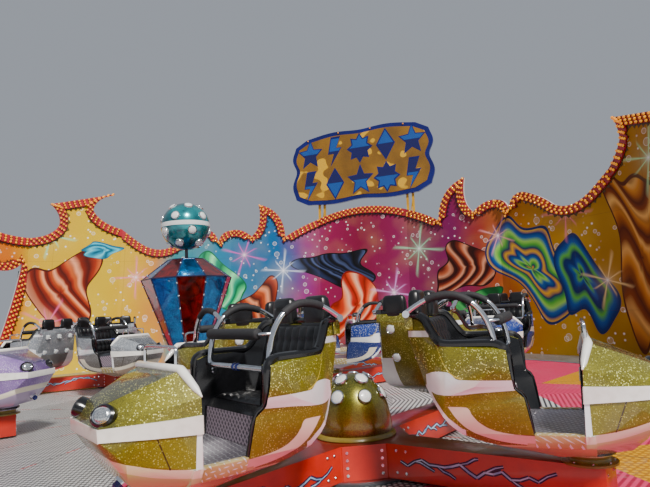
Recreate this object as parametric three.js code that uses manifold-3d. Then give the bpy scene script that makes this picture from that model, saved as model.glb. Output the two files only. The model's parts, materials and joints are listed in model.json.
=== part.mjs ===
// A fairground dance ride: a tilted turntable with four crosses of four cars, in front of a scenery wall.
// Millimetres, +Z up. The origin is on the ground under the turntable's centre; the front is -Y.
import * as THREE from 'three';
import { mergeVertices } from 'three/addons/utils/BufferGeometryUtils.js';
import Module from 'manifold-3d';

const wasm = await Module();
wasm.setup();

const DEG = Math.PI / 180;

// Running gap between pieces that touch
const GAP = 0.3;

// Platform: its tilt, the height of its centre, and the radii of turntable, podium and wall
const TILT = 6 * DEG;
const PLATFORM_HEIGHT = 1600;
const TURNTABLE_RADIUS = 9200;
const PODIUM_INNER_RADIUS = 9250;
const WALL_RADIUS = 10800;
const FLOOR_THICKNESS = 60;
const DECK_THICKNESS = 200;

// Crosses: where they stand on the turntable and how their arms lie
const CROSS_CIRCLE_RADIUS = 5280;
const FIRST_CROSS_ANGLE = -36.9;
const ARM_LENGTH = 2315;
const ARM_BOTTOM = 30;
const ARM_TOP = 350;
const ARM_ROOT_HALF_WIDTH = 215;
const ARM_END_HALF_WIDTH = 150;
const HUB_BLOCK_RADIUS = 560;
const SLEW_DRUM_RADIUS = 600;
const END_DRUM_RADIUS = 140;
const END_DRUM_TOP = 420;

// Hub dome
const DOME_FLANGE_RADIUS = 420;
const DOME_RADIUS = 390;
const DOME_FLANGE_HEIGHT = 40;
const DOME_HEIGHT = 630;

// Car, from its pivot: x forwards, heights over the platform
const CAR_SHOULDER_HALF = 684;
const CAR_SILL_HALF = 560;
const CAR_INSIDE_HALF = 550;
const CAR_UNDERSIDE = END_DRUM_TOP + GAP;
const CAR_BOSS_RADIUS = 190;
const CAR_KEEL = 450;
const CAR_SILL = 660;
const CAR_SHELL_FRONT = -364;
const CAR_ARMREST_TOP = 1324;
const CAR_WING_TOP = 1560;
const CAR_BACK = -1310;
const CAR_SEAT_TOP = 948;
const CAR_SEAT_FRONT = -530;
const CAR_OVER_ALL = 2100;
const HEADREST_TOP = 1790;
const HEADREST_PLACE = 250;
const HEADREST_HALF_WIDTH = 150;

// Corners of one half of the car's nose: [forwards, sideways, height]
const NOSE = {
  sill: [-16, CAR_SILL_HALF, 645],
  shoulder: [9, 619, 1137],
  crown: [69, 427, 1310],
  brow: [510, 205, 1125],
  bandTop: [597, 340, 985],
  bandFoot: [594, 345, 905],
  chin: [452, 425, 758],
  bowl: [400, 300, 600],
  keel: [300, 240, 500],
  panEdge: [-16, 500, 560],
  panKeel: [-16, 260, CAR_KEEL],
};

// The foot well in the nose: how much smaller it is than the nose, and the place that it shrinks towards
const WELL_SCALE = [0.93, 0.9, 0.82];
const WELL_CENTRE = [-400, 0, 930];

// Lap bar: its hinge behind the wings, the bent arches, the lower tube and the padded bar
const BAR_HINGE_X = -1278;
const BAR_HINGE_HEIGHT = 1590;
const BAR_SIDE = 500;
const BAR_TUBE_RADIUS = 24;
const BAR_FRONT_X = -585;
const BAR_LOW_HEIGHT = 1245;
const BAR_PAD_X = -560;
const BAR_PAD_HEIGHT = 1510;
const BAR_PAD_RADIUS = 45;
const BAR_PAD_HALF_LENGTH = 420;
const LUG_WIDTH = 80;

// Centre pillar and the ball on its pole, heights over the platform
const PILLAR_PLINTH_RADIUS = 550;
const PILLAR_NECK_RADIUS = 320;
const PILLAR_NECK_HEIGHT = 1050;
const PILLAR_CROWN_RADIUS = 820;
const PILLAR_CROWN_HEIGHT = 2365;
const PILLAR_TOP_RADIUS = 340;
const PILLAR_TOP = 2720;
const PILLAR_SIDES = 10;
const PILLAR_TURN = 22;
const BALL_RADIUS = 450;
const BALL_CENTRE = 3350;
const POLE_RADIUS = 30;

// Structure under the platform
const FRAME_BEAM_DEPTH = 240;
const FRAME_BEAM_REACH = 8900;
const FRAME_HUB_RADIUS = 800;
const FRAME_HUB_BOTTOM = -560;
const GEARBOX_RADIUS = 420;
const GEARBOX_BOTTOM = -420;
const PEDESTAL_RADIUS = 700;
const GROUND_BEAM_WIDTH = 400;
const GROUND_BEAM_HEIGHT = 300;
const LEG_CIRCLE_RADIUS = 10000;
const LEG_WIDTH = 180;
const LEG_COUNT = 16;

// Podium corners in front, as azimuths from the back, and the front steps
const FRONT_CORNERS = [94.5, 117.5, 139.5, 166.5];
const STEP_WIDTH = 4800;
const STEP_DEPTH = 300;
const STEP_COUNT = 2;

// Scenery wall: panel seams as azimuths from the back, board and raised rim
const SEAMS = { centre: 9.07, inner: 27.2, dip: 48.5, horn: 64.5, wing: 78 };
const BOARD_THICKNESS = 60;
const RIM_WIDTH = 300;
const RIM_THICKNESS = 50;
const BOARD_BELOW_DECK = 100;
const RIM_OVER_DECK = 0.02;
const POST_WIDTH = 100;
const POST_TOP = 3.6;
const POST_SHARES = [0.22, 0.78];
const WING_POST_SHARE = 0.06;
const ARCH_HEIGHT = 5.4;
const ARCH_DROP = 0.65;
const ARCH_EDGE = 13.5;
const LEFT_NECK = 54.1;
const RIGHT_NECK = 51.3;

// Sign over the wall
const SIGN_HALF_WIDTH = 2820;
const SIGN_BOTTOM = 8400;
const SIGN_TOP = 11340;
const SIGN_ARCH = 0.12;
const SIGN_THICKNESS = 120;
const SIGN_POST_WIDTH = 80;
const SIGN_POST_PLACES = [-1750, -1540, 1740, 1950];
const SIGN_RAIL_HEIGHTS = [5900, 8900, 10400];

// Liveries of the four crosses, with the arms' turn and the way each car's nose points
const CROSSES = [
  { livery: 'gold', colour: 0x8a7a1e, armAngle: -17.9, headings: [358.6, 80, 150, 238] },
  { livery: 'blue', colour: 0x1d4f9e, armAngle: -33, headings: [259, 140, 30, 195] },
  { livery: 'silver', colour: 0xb9bdc2, armAngle: -45, headings: [355, 60, 130, 174] },
  { livery: 'purple', colour: 0x8d6bb0, armAngle: -40, headings: [20, 15, 110, 240] },
];

const paint = (color, roughness, metalness) => (
  new THREE.MeshStandardMaterial({ color, roughness, metalness })
);

const MATERIALS = {
  checkerPlate: paint(0xb5b8bb, 0.4, 0.9),
  redPaint: paint(0xc8321c, 0.45, 0.1),
  darkSteel: paint(0x50565c, 0.6, 0.6),
  mirrorRed: paint(0xa01818, 0.15, 0.8),
  tealMetal: paint(0x0f7f86, 0.25, 0.8),
  chrome: paint(0xd8dadd, 0.12, 1),
  wallPaint: paint(0xd98ac0, 0.5, 0),
  signPaint: paint(0xc8952c, 0.45, 0.1),
  yellowPaint: paint(0xd8b52a, 0.5, 0.1),
};

// Turns a closed geometry into a solid that can be joined and cut.
function solid(geometry) {
  const bare = geometry.index ? geometry.toNonIndexed() : geometry.clone();
  for (const name of Object.keys(bare.attributes)) {
    if (name !== 'position') bare.deleteAttribute(name);
  }
  const merged = mergeVertices(bare, 1e-3);
  const corners = [];
  for (let i = 0; i < merged.index.count; i += 3) {
    const [a, b, c] = [0, 1, 2].map((k) => merged.index.getX(i + k));
    if (a !== b && b !== c && c !== a) corners.push([a, b, c]);
  }
  const make = (order) => new wasm.Manifold(new wasm.Mesh({
    numProp: 3,
    vertProperties: Float32Array.from(merged.attributes.position.array),
    triVerts: Uint32Array.from(corners.flatMap(order)),
  }));
  const made = make((t) => t);
  return made.volume() > 0 ? made : make(([a, b, c]) => [a, c, b]);
}

// Turns a solid back into a geometry.
function geometryOf(piece) {
  const mesh = piece.getMesh();
  const geometry = new THREE.BufferGeometry();
  geometry.setAttribute('position', new THREE.BufferAttribute(mesh.vertProperties, 3));
  geometry.setIndex(new THREE.BufferAttribute(mesh.triVerts, 1));
  geometry.computeVertexNormals();
  return geometry;
}

const joined = (pieces) => pieces.reduce((whole, piece) => whole.add(piece));

// A box between two corners.
function block([x0, y0, z0], [x1, y1, z1]) {
  const box = new THREE.BoxGeometry(x1 - x0, y1 - y0, z1 - z0);
  return solid(box.translate((x0 + x1) / 2, (y0 + y1) / 2, (z0 + z1) / 2));
}

// An upright cylinder between two heights.
function drum(radius, bottom, top, sides, x = 0, y = 0) {
  const round = new THREE.CylinderGeometry(radius, radius, top - bottom, sides);
  return solid(round.rotateX(Math.PI / 2).translate(x, y, (top + bottom) / 2));
}

// A lathe solid about the vertical from [radius, height] points.
function turned(profile, sides) {
  const lathe = new THREE.LatheGeometry(profile.map(([r, z]) => new THREE.Vector2(r, z)), sides);
  return solid(lathe.rotateX(Math.PI / 2));
}

// The directions that an outline's two axes and its thickness take, by the axis of its thickness.
const PLATE_AXES = {
  x: [[0, 1, 0], [0, 0, 1], [1, 0, 0]],
  y: [[1, 0, 0], [0, 0, 1], [0, -1, 0]],
  z: [[1, 0, 0], [0, 1, 0], [0, 0, 1]],
};

// An outline thickened between two values along one axis.
function plate(points, axis, from, to) {
  const shape = new THREE.Shape(points.map(([a, b]) => new THREE.Vector2(a, b)));
  const extruded = new THREE.ExtrudeGeometry(shape, { depth: to - from, bevelEnabled: false, steps: 1 });
  extruded.translate(0, 0, axis === 'y' ? -to : from);
  const [u, v, w] = PLATE_AXES[axis].map((direction) => new THREE.Vector3(...direction));
  return solid(extruded.applyMatrix4(new THREE.Matrix4().makeBasis(u, v, w)));
}

// A round bar across, centred on the middle plane.
function crossBar(radius, halfLength, x, z, sides = 6) {
  const bar = new THREE.CylinderGeometry(radius, radius, 2 * halfLength, sides);
  return solid(bar.translate(x, 0, z));
}

function node(name, piece, material) {
  const mesh = new THREE.Mesh(geometryOf(piece), material);
  mesh.name = name;
  return mesh;
}

// The slab of space between two planes parallel to the tilted platform, in upright coordinates.
function tiltedSlab(low, high) {
  const reach = 14000;
  const slab = new THREE.BoxGeometry(2 * reach, 2 * reach, high - low).translate(0, 0, (low + high) / 2);
  return solid(slab.rotateX(TILT).translate(0, 0, PLATFORM_HEIGHT));
}

// Height of the tilted platform over a point of the ground.
const platformAt = (y) => PLATFORM_HEIGHT + y * Math.tan(TILT);

// A point of the wall's plan at an azimuth from the back, clockwise seen from above.
const wallPoint = (azimuth, radius = WALL_RADIUS) => [
  radius * Math.sin(azimuth * DEG),
  radius * Math.cos(azimuth * DEG),
];

// The car's nose: a faceted solid on its corners, left and right alike.
function carNose() {
  const half = Object.values(NOSE);
  return wasm.Manifold.hull([...half, ...half.map(([x, y, z]) => [x, -y, z])]);
}

// The foot well inside the nose, down to the car's floor.
function footWell(nose) {
  const away = WELL_CENTRE.map((value) => -value);
  const reach = CAR_SHOULDER_HALF;
  const over = block([-reach, -reach, CAR_SILL], [reach, reach, CAR_OVER_ALL]);
  return nose.translate(away).scale(WELL_SCALE).translate(WELL_CENTRE).intersect(over);
}

// Car body: the side, plan and front outlines of the seat's shell and floor pan cut each other, the nose
// is joined on, and the cabin is cut out. A boss under it sits on the arm's bearing.
function carBody() {
  const side = [
    [-380, 510], [-210, CAR_KEEL], [50, 470], [50, CAR_SILL], [CAR_SHELL_FRONT, CAR_SILL], [-408, 935],
    [-470, 1004], [-482, 1100], [-500, 1290], [-600, CAR_ARMREST_TOP], [-990, CAR_ARMREST_TOP],
    [-1140, 1540], [-1290, CAR_WING_TOP], [CAR_BACK, 1470], [-1280, 1350], [-1210, 1160], [-1160, 1010],
    [-1080, 860], [-985, 730], [-890, 650], [-730, 590],
  ];
  const plan = [
    [50, CAR_SHOULDER_HALF], [-600, CAR_SHOULDER_HALF], [-990, 600], [-1160, 500], [CAR_BACK, 425],
  ];
  const front = [
    [260, CAR_UNDERSIDE], [500, 560], [CAR_SILL_HALF, CAR_SILL], [600, 935], [650, 1020],
    [CAR_SHOULDER_HALF, 1160], [CAR_SHOULDER_HALF, 1285], [610, CAR_ARMREST_TOP], [600, CAR_WING_TOP],
  ];
  const inside = [[500, CAR_SILL], [CAR_INSIDE_HALF, 935], [CAR_INSIDE_HALF, CAR_OVER_ALL]];
  const insidePlan = [[0, CAR_INSIDE_HALF], [-960, CAR_INSIDE_HALF], [-1160, 447], [-1200, 427]];
  const cabin = [
    [-20, CAR_SILL], [-20, CAR_OVER_ALL], [-1190, CAR_OVER_ALL], [-1190, CAR_WING_TOP],
    [-1030, CAR_SEAT_TOP - 20], [-636, CAR_SEAT_TOP], [CAR_SEAT_FRONT - 18, 888], [CAR_SEAT_FRONT, CAR_SILL],
  ];
  const mirrored = (points) => [...points, ...points.map(([a, b]) => [a, -b]).reverse()];
  const across = (points) => [...points, ...points.map(([a, b]) => [-a, b]).reverse()];
  const shell = plate(side, 'y', -CAR_SHOULDER_HALF, CAR_SHOULDER_HALF)
    .intersect(plate(mirrored(plan), 'z', 0, CAR_OVER_ALL))
    .intersect(plate(across(front), 'x', CAR_BACK, -CAR_BACK));
  const room = plate(cabin, 'y', -CAR_INSIDE_HALF, CAR_INSIDE_HALF)
    .intersect(plate(mirrored(insidePlan), 'z', 0, CAR_OVER_ALL))
    .intersect(plate(across(inside), 'x', CAR_BACK, -CAR_BACK));
  const nose = carNose();
  const body = shell.add(nose).subtract(room.add(footWell(nose)));
  const headrests = [-1, 1].map((sign) => block(
    [-1295, sign * HEADREST_PLACE - HEADREST_HALF_WIDTH, CAR_WING_TOP - 80],
    [-1180, sign * HEADREST_PLACE + HEADREST_HALF_WIDTH, HEADREST_TOP],
  ));
  const lugMiddle = BAR_SIDE - BAR_TUBE_RADIUS - GAP - LUG_WIDTH / 2;
  const lugs = [-1, 1].map((sign) => block(
    [BAR_HINGE_X - 28, sign * lugMiddle - LUG_WIDTH / 2, CAR_WING_TOP - 100],
    [BAR_HINGE_X + 40, sign * lugMiddle + LUG_WIDTH / 2, BAR_HINGE_HEIGHT + BAR_TUBE_RADIUS],
  ));
  return joined([body, drum(CAR_BOSS_RADIUS, CAR_UNDERSIDE, CAR_KEEL + 100, 12), ...headrests, ...lugs]);
}

// A bent bar's side outline: an even width along a smooth curve through [x, z] points.
function bentOutline(points, halfWidth, steps) {
  const path = new THREE.SplineCurve(points.map(([x, z]) => new THREE.Vector2(x, z)));
  const edge = (side) => Array.from({ length: steps + 1 }, (_, i) => {
    const at = path.getPointAt(i / steps);
    const along = path.getTangentAt(i / steps);
    return [at.x - side * halfWidth * along.y, at.y + side * halfWidth * along.x];
  });
  return [...edge(-1), ...edge(1).reverse()];
}

// Lap bar: two bent side arches from the hinge, a lower cross tube and a padded bar on short links.
function lapBar() {
  const arch = bentOutline([
    [BAR_HINGE_X - BAR_TUBE_RADIUS, BAR_HINGE_HEIGHT - 4], [-1065, 1712], [-925, 1728], [-745, 1655],
    [-640, 1510], [-600, 1354], [BAR_FRONT_X, BAR_LOW_HEIGHT - BAR_TUBE_RADIUS],
  ], BAR_TUBE_RADIUS, 9);
  const sides = [-1, 1].map((sign) => (
    plate(arch, 'y', sign * BAR_SIDE - BAR_TUBE_RADIUS, sign * BAR_SIDE + BAR_TUBE_RADIUS)
  ));
  const links = [-1, 1].map((sign) => block(
    [BAR_PAD_X - 90, Math.min(sign * (BAR_PAD_HALF_LENGTH - 30), sign * BAR_SIDE), BAR_PAD_HEIGHT - 16],
    [BAR_PAD_X + 10, Math.max(sign * (BAR_PAD_HALF_LENGTH - 30), sign * BAR_SIDE), BAR_PAD_HEIGHT + 16],
  ));
  const lower = crossBar(BAR_TUBE_RADIUS, BAR_SIDE, BAR_FRONT_X, BAR_LOW_HEIGHT);
  const pad = crossBar(BAR_PAD_RADIUS, BAR_PAD_HALF_LENGTH, BAR_PAD_X, BAR_PAD_HEIGHT, 8);
  return joined([...sides, ...links, lower, pad]);
}

// Cross: slewing drum, flat-faced hub block, four tapering box arms and the cars' bearing drums.
function crossArms() {
  const arm = [
    [0, -ARM_ROOT_HALF_WIDTH], [ARM_LENGTH + ARM_END_HALF_WIDTH, -ARM_END_HALF_WIDTH],
    [ARM_LENGTH + ARM_END_HALF_WIDTH, ARM_END_HALF_WIDTH], [0, ARM_ROOT_HALF_WIDTH],
  ];
  const one = plate(arm, 'z', ARM_BOTTOM, ARM_TOP)
    .add(drum(END_DRUM_RADIUS, ARM_TOP - 1, END_DRUM_TOP, 12, ARM_LENGTH));
  const arms = [0, 90, 180, 270].map((turn) => one.rotate([0, 0, turn]));
  return joined([
    drum(SLEW_DRUM_RADIUS, GAP, ARM_BOTTOM + 1, 20),
    drum(HUB_BLOCK_RADIUS, ARM_BOTTOM, ARM_TOP, 8).rotate([0, 0, 22.5]),
    ...arms,
  ]);
}

// Hub dome: a flange and a rounded cap.
function hubDome() {
  const bottom = ARM_TOP + GAP;
  const rounds = 5;
  const cap = Array.from({ length: rounds + 1 }, (_, i) => {
    const turn = i * Math.PI / 2 / rounds;
    const height = (DOME_HEIGHT - DOME_FLANGE_HEIGHT) * Math.sin(turn) ** 0.9;
    return [DOME_RADIUS * Math.cos(turn), bottom + DOME_FLANGE_HEIGHT + height];
  });
  cap[rounds][0] = 0;
  return turned([
    [0, bottom], [DOME_FLANGE_RADIUS, bottom], [DOME_FLANGE_RADIUS, bottom + DOME_FLANGE_HEIGHT], ...cap,
  ], 14);
}

// Many-sided pillar with a wide crown of slanting mirror facets.
function centrePillar() {
  return turned([
    [0, GAP], [PILLAR_PLINTH_RADIUS, GAP], [PILLAR_PLINTH_RADIUS, 250], [PILLAR_NECK_RADIUS, 330],
    [PILLAR_NECK_RADIUS, PILLAR_NECK_HEIGHT], [PILLAR_CROWN_RADIUS, PILLAR_CROWN_HEIGHT],
    [PILLAR_TOP_RADIUS, PILLAR_TOP], [0, PILLAR_TOP],
  ], PILLAR_SIDES).rotate([0, 0, PILLAR_TURN]);
}

// Ball on a short pole.
function pillarBall() {
  const start = Math.asin(POLE_RADIUS / BALL_RADIUS);
  const rounds = 10;
  const arc = Array.from({ length: rounds + 1 }, (_, i) => {
    const turn = start + i * (Math.PI - start) / rounds;
    return [BALL_RADIUS * Math.sin(turn), BALL_CENTRE - BALL_RADIUS * Math.cos(turn)];
  });
  arc[rounds][0] = 0;
  return turned([[0, PILLAR_TOP + GAP], [POLE_RADIUS, PILLAR_TOP + GAP], ...arc], 16);
}

const crossAngle = (index) => FIRST_CROSS_ANGLE + 90 * index;

// Steelwork under the turntable: hub, four beams and a gearbox drum under each cross.
function turntableFrame() {
  const top = -FLOOR_THICKNESS - GAP;
  const beam = block([0, -150, top - FRAME_BEAM_DEPTH], [FRAME_BEAM_REACH, 150, top])
    .add(drum(GEARBOX_RADIUS, GEARBOX_BOTTOM, top, 10, CROSS_CIRCLE_RADIUS));
  const beams = CROSSES.map((_, index) => beam.rotate([0, 0, crossAngle(index)]));
  return joined([drum(FRAME_HUB_RADIUS, FRAME_HUB_BOTTOM, top, 24), ...beams]);
}

// Base frame: four ground beams and a pedestal, cut off along the tilt under the turntable's hub.
function baseFrame() {
  const reach = LEG_CIRCLE_RADIUS - LEG_WIDTH / 2 - GAP;
  const half = GROUND_BEAM_WIDTH / 2;
  const beams = [45, 135, 225, 315].map((turn) => (
    block([0, -half, 0], [reach, half, GROUND_BEAM_HEIGHT]).rotate([0, 0, turn])
  ));
  const pedestal = drum(PEDESTAL_RADIUS, 0, PLATFORM_HEIGHT, 24);
  return joined([pedestal, ...beams]).subtract(tiltedSlab(FRAME_HUB_BOTTOM - GAP, 5000));
}

// Podium: a ring deck parallel to the turntable, on upright legs.
function podium() {
  const edge = WALL_RADIUS - GAP - 0.1;
  const rear = [-SEAMS.horn, -SEAMS.dip, -SEAMS.inner, -SEAMS.centre, SEAMS.centre, SEAMS.inner, SEAMS.dip,
    SEAMS.horn, SEAMS.wing];
  const front = [...FRONT_CORNERS, ...FRONT_CORNERS.map((azimuth) => 360 - azimuth).reverse()];
  const corners = [...rear, ...front, 360 - SEAMS.wing].map((azimuth) => wallPoint(azimuth, edge));
  const deck = plate(corners, 'z', -500, 5000).intersect(tiltedSlab(-DECK_THICKNESS, 0));
  const half = LEG_WIDTH / 2;
  const legs = Array.from({ length: LEG_COUNT }, (_, i) => {
    const turn = 45 + i * 360 / LEG_COUNT;
    const height = platformAt(LEG_CIRCLE_RADIUS * Math.sin(turn * DEG)) - DECK_THICKNESS / 2;
    return block([LEG_CIRCLE_RADIUS - half, -half, 0], [LEG_CIRCLE_RADIUS + half, half, height])
      .rotate([0, 0, turn]);
  });
  const well = drum(PODIUM_INNER_RADIUS, -DECK_THICKNESS - 400, 400, 64)
    .rotate([TILT / DEG, 0, 0]).translate([0, 0, PLATFORM_HEIGHT]);
  return joined([deck.subtract(well), ...legs]);
}

// Front steps up to the podium's straight front side.
function frontSteps() {
  const corner = FRONT_CORNERS[FRONT_CORNERS.length - 1];
  const back = wallPoint(corner)[1] - GAP;
  const rise = platformAt(back) / (STEP_COUNT + 1);
  const profile = [[back, 0]];
  for (let i = 0; i < STEP_COUNT; i += 1) {
    const y = back - (STEP_COUNT - i) * STEP_DEPTH;
    profile.push([y, i * rise], [y, (i + 1) * rise]);
  }
  profile.push([back, STEP_COUNT * rise]);
  return plate(profile, 'x', -STEP_WIDTH / 2, STEP_WIDTH / 2);
}

// Top edges of the wall's panels: [azimuth, height over the podium in metres], from the centre outwards.
const archAt = (azimuth) => ARCH_HEIGHT - ARCH_DROP * (azimuth / ARCH_EDGE) ** 2;

function curve(start, build, divisions = 3) {
  const path = new THREE.Path();
  path.moveTo(...start);
  build(path);
  return path.getPoints(divisions).map((p) => [p.x, p.y]);
}

const TOP_EDGES = {
  inner: () => curve([SEAMS.centre, archAt(SEAMS.centre)], (path) => {
    path.quadraticCurveTo(13, 4.85, 16, 4.5);
    path.quadraticCurveTo(16.4, 5.6, 21.6, 5.85);
    path.quadraticCurveTo(20.6, 4.95, 23, 4.6);
    path.quadraticCurveTo(25, 4.95, SEAMS.inner, 4.89);
  }),
  dip: () => curve([SEAMS.inner, 4.89], (path) => {
    path.quadraticCurveTo(29.4, 4.85, 29.8, 4.45);
    path.quadraticCurveTo(30.6, 4.97, 33, 4.93);
    path.quadraticCurveTo(36, 4.75, 38.5, 4.35);
    path.quadraticCurveTo(42, 3.95, 46, 4.59);
    path.lineTo(SEAMS.dip, 4.98);
  }),
  horn: (neck) => curve([SEAMS.dip, 4.98], (path) => {
    path.quadraticCurveTo(neck - 1.2, 5.2, neck, 5.65);
    path.quadraticCurveTo(neck - 0.2, 6.1, 50.3, 6.3);
    path.lineTo(61.7, 5.8);
    path.quadraticCurveTo(59.5, 5.5, 59.9, 5.05);
    path.quadraticCurveTo(61, 4.65, SEAMS.horn, 4.59);
  }),
  wing: () => curve([SEAMS.horn, 4.59], (path) => {
    path.quadraticCurveTo(68, 4.6, 71, 4.82);
    path.quadraticCurveTo(75, 4.95, 77.8, 4.5);
    path.quadraticCurveTo(74, 3.9, 71, 3.58);
    path.quadraticCurveTo(67, 3.3, 65.4, 3.75);
    path.quadraticCurveTo(66.4, 2, 70, -BOARD_BELOW_DECK / 1000);
  }),
};

// A wall panel between two seams: board, raised rim along its free edge, and posts behind it.
// Its own x runs along the board, y points out of the ring and z is up.
function wallPanel(from, to, edge, postShares) {
  const half = (to - from) / 2;
  const middle = (to + from) / 2;
  const distance = WALL_RADIUS * Math.cos(half * DEG);
  const length = 2 * WALL_RADIUS * Math.sin(half * DEG);
  const place = ([azimuth, height]) => {
    const turn = (azimuth - middle) * DEG;
    const y = distance / Math.cos(turn) * Math.cos(azimuth * DEG);
    return [length / 2 + distance * Math.tan(turn), platformAt(y) + 1000 * height];
  };
  const below = -BOARD_BELOW_DECK / 1000;
  const free = edge.map(place);
  const foot = [edge[edge.length - 1][1] > 0 ? place([to, below]) : null,
    edge[0][1] > 0 ? place([from, below]) : null].filter((point) => point);
  const outline = [...free, ...foot];
  const board = plate(outline, 'y', 0, BOARD_THICKNESS);
  const strips = free.slice(1).map(([x, z], i) => {
    const [x0, z0] = free[i];
    const run = Math.hypot(x - x0, z - z0);
    return block([-RIM_WIDTH / 3, -RIM_THICKNESS, -RIM_WIDTH], [run + RIM_WIDTH / 3, 1, RIM_WIDTH])
      .rotate([0, -Math.atan2(z - z0, x - x0) / DEG, 0]).translate([x0, 0, z0]);
  });
  const overDeck = edge.map(([azimuth, height]) => place([azimuth, Math.max(height, RIM_OVER_DECK)]));
  const rim = joined(strips).intersect(plate([...overDeck, ...foot.length > 1
    ? [place([to, RIM_OVER_DECK]), place([from, RIM_OVER_DECK])]
    : [place([edge[0][1] > 0 ? from : to, RIM_OVER_DECK])]], 'y', -RIM_THICKNESS, 1));
  const posts = postShares.map((share) => {
    const x = share * length;
    const [, top] = place([middle, POST_TOP]);
    return block([x - POST_WIDTH / 2, BOARD_THICKNESS - 1, 0],
      [x + POST_WIDTH / 2, BOARD_THICKNESS + POST_WIDTH, top]);
  });
  const inward = 300;
  const spread = inward * Math.tan(half * DEG);
  const wedge = plate([
    [GAP / 2 + spread, -inward], [length - GAP / 2 - spread, -inward],
    [length - GAP / 2 + spread, inward], [GAP / 2 - spread, inward],
  ], 'z', -100, 12000);
  return joined([board, rim, ...posts]).intersect(wedge);
}

// Puts a panel at its first seam, turned square to the ring.
function placedPanel(name, from, to, edge, postShares) {
  const mesh = node(name, wallPanel(from, to, edge, postShares), MATERIALS.wallPaint);
  const [x, y] = wallPoint(from);
  mesh.position.set(x, y, 0);
  mesh.rotation.z = -(from + to) / 2 * DEG;
  return mesh;
}

const mirroredEdge = (edge) => edge.map(([azimuth, height]) => [-azimuth, height]).reverse();

function centreEdge() {
  const steps = 8;
  return Array.from({ length: steps + 1 }, (_, i) => {
    const azimuth = SEAMS.centre * (2 * i / steps - 1);
    return [azimuth, archAt(azimuth)];
  });
}

// The sign's lobed outline, [x, z], with notches at its corners and sides and an arched top.
function signBoard(front) {
  const middle = (SIGN_TOP + SIGN_BOTTOM) / 2;
  const halfHeight = (SIGN_TOP - SIGN_BOTTOM) / 2;
  const count = 48;
  const outline = Array.from({ length: count }, (_, i) => {
    const turn = (i + 0.5) * 2 * Math.PI / count;
    const square = 1 / Math.max(Math.abs(Math.cos(turn)), Math.abs(Math.sin(turn)));
    const reach = Math.min(square, 1.3) * (0.97 - 0.03 * Math.cos(8 * turn));
    const across = Math.min(1, reach * Math.abs(Math.cos(turn))) * Math.sign(Math.cos(turn));
    const up = Math.min(1, reach * Math.abs(Math.sin(turn))) * Math.sign(Math.sin(turn));
    const arch = up > 0 ? 1 - SIGN_ARCH * across ** 2 : 1;
    return [SIGN_HALF_WIDTH * across, middle + halfHeight * up * arch];
  });
  return plate(outline, 'y', front, front + SIGN_THICKNESS);
}

// Posts and rails that carry the sign from the ground behind the wall.
function signFrame(front) {
  const half = SIGN_POST_WIDTH / 2;
  const back = front + SIGN_POST_WIDTH;
  const [first, last] = [SIGN_POST_PLACES[0], SIGN_POST_PLACES[SIGN_POST_PLACES.length - 1]];
  const top = SIGN_RAIL_HEIGHTS[SIGN_RAIL_HEIGHTS.length - 1];
  const posts = SIGN_POST_PLACES.map((x) => block([x - half, front, 0], [x + half, back, top]));
  const rails = SIGN_RAIL_HEIGHTS.map((z) => block([first, front, z - half], [last, back, z + half]));
  return joined([...posts, ...rails]);
}

const ride = new THREE.Group();
ride.add(node('base_frame', baseFrame(), MATERIALS.darkSteel));
ride.add(node('podium', podium(), MATERIALS.checkerPlate));
ride.add(node('front_steps', frontSteps(), MATERIALS.checkerPlate));

ride.add(placedPanel('wall_centre', -SEAMS.centre, SEAMS.centre, centreEdge(), POST_SHARES));
const PANELS = [
  ['inner', SEAMS.centre, SEAMS.inner], ['dip', SEAMS.inner, SEAMS.dip], ['horn', SEAMS.dip, SEAMS.horn],
  ['wing', SEAMS.horn, SEAMS.wing],
];
for (const [name, from, to] of PANELS) {
  const shares = name === 'wing' ? [WING_POST_SHARE] : POST_SHARES;
  const leftShares = shares.map((share) => 1 - share);
  ride.add(placedPanel(`wall_${name}_right`, from, to, TOP_EDGES[name](RIGHT_NECK), shares));
  const leftEdge = mirroredEdge(TOP_EDGES[name](LEFT_NECK));
  ride.add(placedPanel(`wall_${name}_left`, -to, -from, leftEdge, leftShares));
}

const postFront = WALL_RADIUS * Math.cos(SEAMS.centre * DEG) + BOARD_THICKNESS + POST_WIDTH + GAP;
ride.add(node('sign_frame', signFrame(postFront), MATERIALS.yellowPaint));
ride.add(node('sign_board', signBoard(postFront - SIGN_THICKNESS - GAP), MATERIALS.signPaint));

const turntable = new THREE.Group();
turntable.position.z = PLATFORM_HEIGHT;
turntable.rotation.x = TILT;
ride.add(turntable);
const floorDisc = drum(TURNTABLE_RADIUS, -FLOOR_THICKNESS, 0, 96);
turntable.add(node('turntable_floor', floorDisc, MATERIALS.checkerPlate));
turntable.add(node('turntable_frame', turntableFrame(), MATERIALS.darkSteel));
turntable.add(node('centre_pillar', centrePillar(), MATERIALS.mirrorRed));
turntable.add(node('pillar_ball', pillarBall(), MATERIALS.tealMetal));

CROSSES.forEach(({ livery, colour, armAngle, headings }, index) => {
  const cross = new THREE.Group();
  const turn = crossAngle(index) * DEG;
  cross.position.set(CROSS_CIRCLE_RADIUS * Math.cos(turn), CROSS_CIRCLE_RADIUS * Math.sin(turn), 0);
  cross.rotation.z = armAngle * DEG;
  turntable.add(cross);
  const glitter = paint(colour, 0.3, 0.4);
  cross.add(node(`${livery}_cross`, crossArms(), MATERIALS.redPaint));
  cross.add(node(`${livery}_hub_dome`, hubDome(), glitter));
  headings.forEach((heading, arm) => {
    const car = new THREE.Group();
    const side = arm * Math.PI / 2;
    car.position.set(ARM_LENGTH * Math.cos(side), ARM_LENGTH * Math.sin(side), 0);
    car.rotation.z = (heading - armAngle) * DEG;
    cross.add(car);
    car.add(node(`${livery}_car_${arm + 1}`, carBody(), glitter));
    car.add(node(`${livery}_lap_bar_${arm + 1}`, lapBar(), MATERIALS.chrome));
  });
});

export default ride;
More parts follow.
